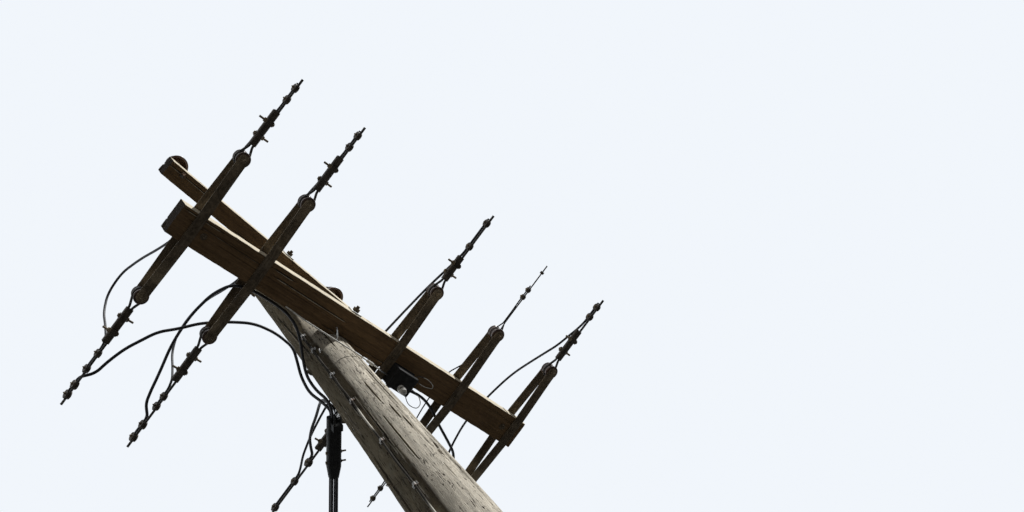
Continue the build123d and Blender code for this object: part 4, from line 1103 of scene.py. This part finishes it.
def make_steelwork():
    """The straps, the fuse box, the bolts, the washers and the cast clamps with eased edges."""
    for letter in "abcde":
        eased_copy("straps_" + letter, "strap_pair_" + letter, 0.0016, 2, RUSTED_BAR, "strap_steel")
    eased_copy("service_box", "service_box_body", 0.003, 2, BLACK_MOULDING, "black_moulding")
    eased_copy("arm_end_bolts", "arm_end_bolts_eased", 0.0009, 1, RUSTY_BOLT, "rusty_bolt_steel")
    eased_copy("strap_bolts", "strap_bolts_eased", 0.0010, 1, RUSTY_BOLT, "rusty_bolt_steel")
    eased_copy("king_washers", "king_washers_eased", 0.0012, 2, ZINC, "galvanised_steel")
    eased_copy("king_bolts", "king_bolts_eased", 0.0016, 2, RUSTY_BOLT, "galvanised_steel")
    for letter in "abce":
        name = "clamp_castings_" + letter
        eased_copy("deadend_clamps_" + letter, name, 0.0022, 2, CLAMP_ALLOY, "clamp_alloy")


def camera_blend(tree, factor, unseen, shown, surface):
    """One shader where the factor is 1, the other one elsewhere, led to the output."""
    blend = tree.nodes.new("ShaderNodeMixShader")
    tree.links.new(factor, blend.inputs["Fac"])
    tree.links.new(unseen, blend.inputs[1])
    tree.links.new(shown, blend.inputs[2])
    tree.links.new(blend.outputs["Shader"], tree.nodes[surface].inputs["Surface"])


def larger(tree, first, second):
    """The larger of two values."""
    node = tree.nodes.new("ShaderNodeMath")
    node.operation = "MAXIMUM"
    tree.links.new(first, node.inputs[0])
    tree.links.new(second, node.inputs[1])
    return node.outputs["Value"]


def make_floor():
    """A floor round the pole's foot: pale to the eye, dark in the light that it throws back."""
    bpy.ops.object.select_all(action="DESELECT")
    bpy.ops.mesh.primitive_plane_add(size=FLOOR_SIZE, location=(0.0, 0.0, -FLOOR_DROP))
    floor = bpy.context.object
    floor.name = "floor"
    paint = bpy.data.materials.new("pale_floor")
    paint.use_nodes = True
    tree = paint.node_tree
    shown = tree.nodes["Principled BSDF"]
    shown.inputs["Base Color"].default_value = PALE_FLOOR
    shown.inputs["Roughness"].default_value = 0.9
    dim = tree.nodes.new("ShaderNodeBsdfDiffuse")
    dim.inputs["Color"].default_value = DIM_FLOOR
    path = tree.nodes.new("ShaderNodeLightPath")
    camera_blend(tree, path.outputs["Is Camera Ray"], dim.outputs["BSDF"], shown.outputs["BSDF"],
                 "Material Output")
    floor.data.materials.append(paint)


def make_sky():
    """A weak even light, and a brighter sky where it is looked at, mirrored or seen through."""
    world = bpy.data.worlds.new("pale_world")
    bpy.context.scene.world = world
    world.use_nodes = True
    tree = world.node_tree
    light = tree.nodes["Background"]
    light.inputs["Color"].default_value = (1.0, 1.0, 1.0, 1.0)
    light.inputs["Strength"].default_value = WORLD_STRENGTH
    shown = tree.nodes.new("ShaderNodeBackground")
    shown.inputs["Color"].default_value = PALE_SKY
    shown.inputs["Strength"].default_value = 1.0
    path = tree.nodes.new("ShaderNodeLightPath")
    seen = larger(tree, path.outputs["Is Camera Ray"], path.outputs["Is Glossy Ray"])
    seen = larger(tree, seen, path.outputs["Is Transmission Ray"])
    camera_blend(tree, seen, light.outputs["Background"], shown.outputs["Background"], "World Output")


def make_sun():
    """The one lamp, a low sun."""
    bpy.ops.object.light_add(type="SUN", location=(0.0, 0.0, 12.0))
    sun = bpy.context.object
    sun.name = "key"
    sun.data.energy = SUN_STRENGTH
    sun.data.angle = SUN_ANGLE
    sun.rotation_euler = SUN_WAY.normalized().to_track_quat("Z", "Y").to_euler()


def make_camera():
    """The photograph's view."""
    camera = bpy.data.objects.new("camera", bpy.data.cameras.new("camera"))
    bpy.context.scene.collection.objects.link(camera)
    back = VIEW_RIGHT.cross(VIEW_UP)
    turn = Matrix((VIEW_RIGHT, VIEW_UP, back)).transposed()
    camera.matrix_world = Matrix.Translation(EYE) @ turn.to_4x4()
    camera.data.sensor_width = SENSOR_MM
    camera.data.lens = LENS_MM
    bpy.context.scene.camera = camera


dress_nodes()
make_shaft()
make_arm("sawn_lower_crossarm", "lower_crossarm", LOW_ARM, 3, 30, ARM_WOOD)
make_arm("sawn_upper_crossarm", "upper_crossarm", TOP_ARM, 5, 22, TURNED_ARM_WOOD)
make_bells()
make_spools()
make_steelwork()
make_fuse()
make_box_lid()
make_nails()
make_floor()
make_sky()
make_sun()
make_camera()
bpy.context.scene.view_settings.view_transform = "Standard"
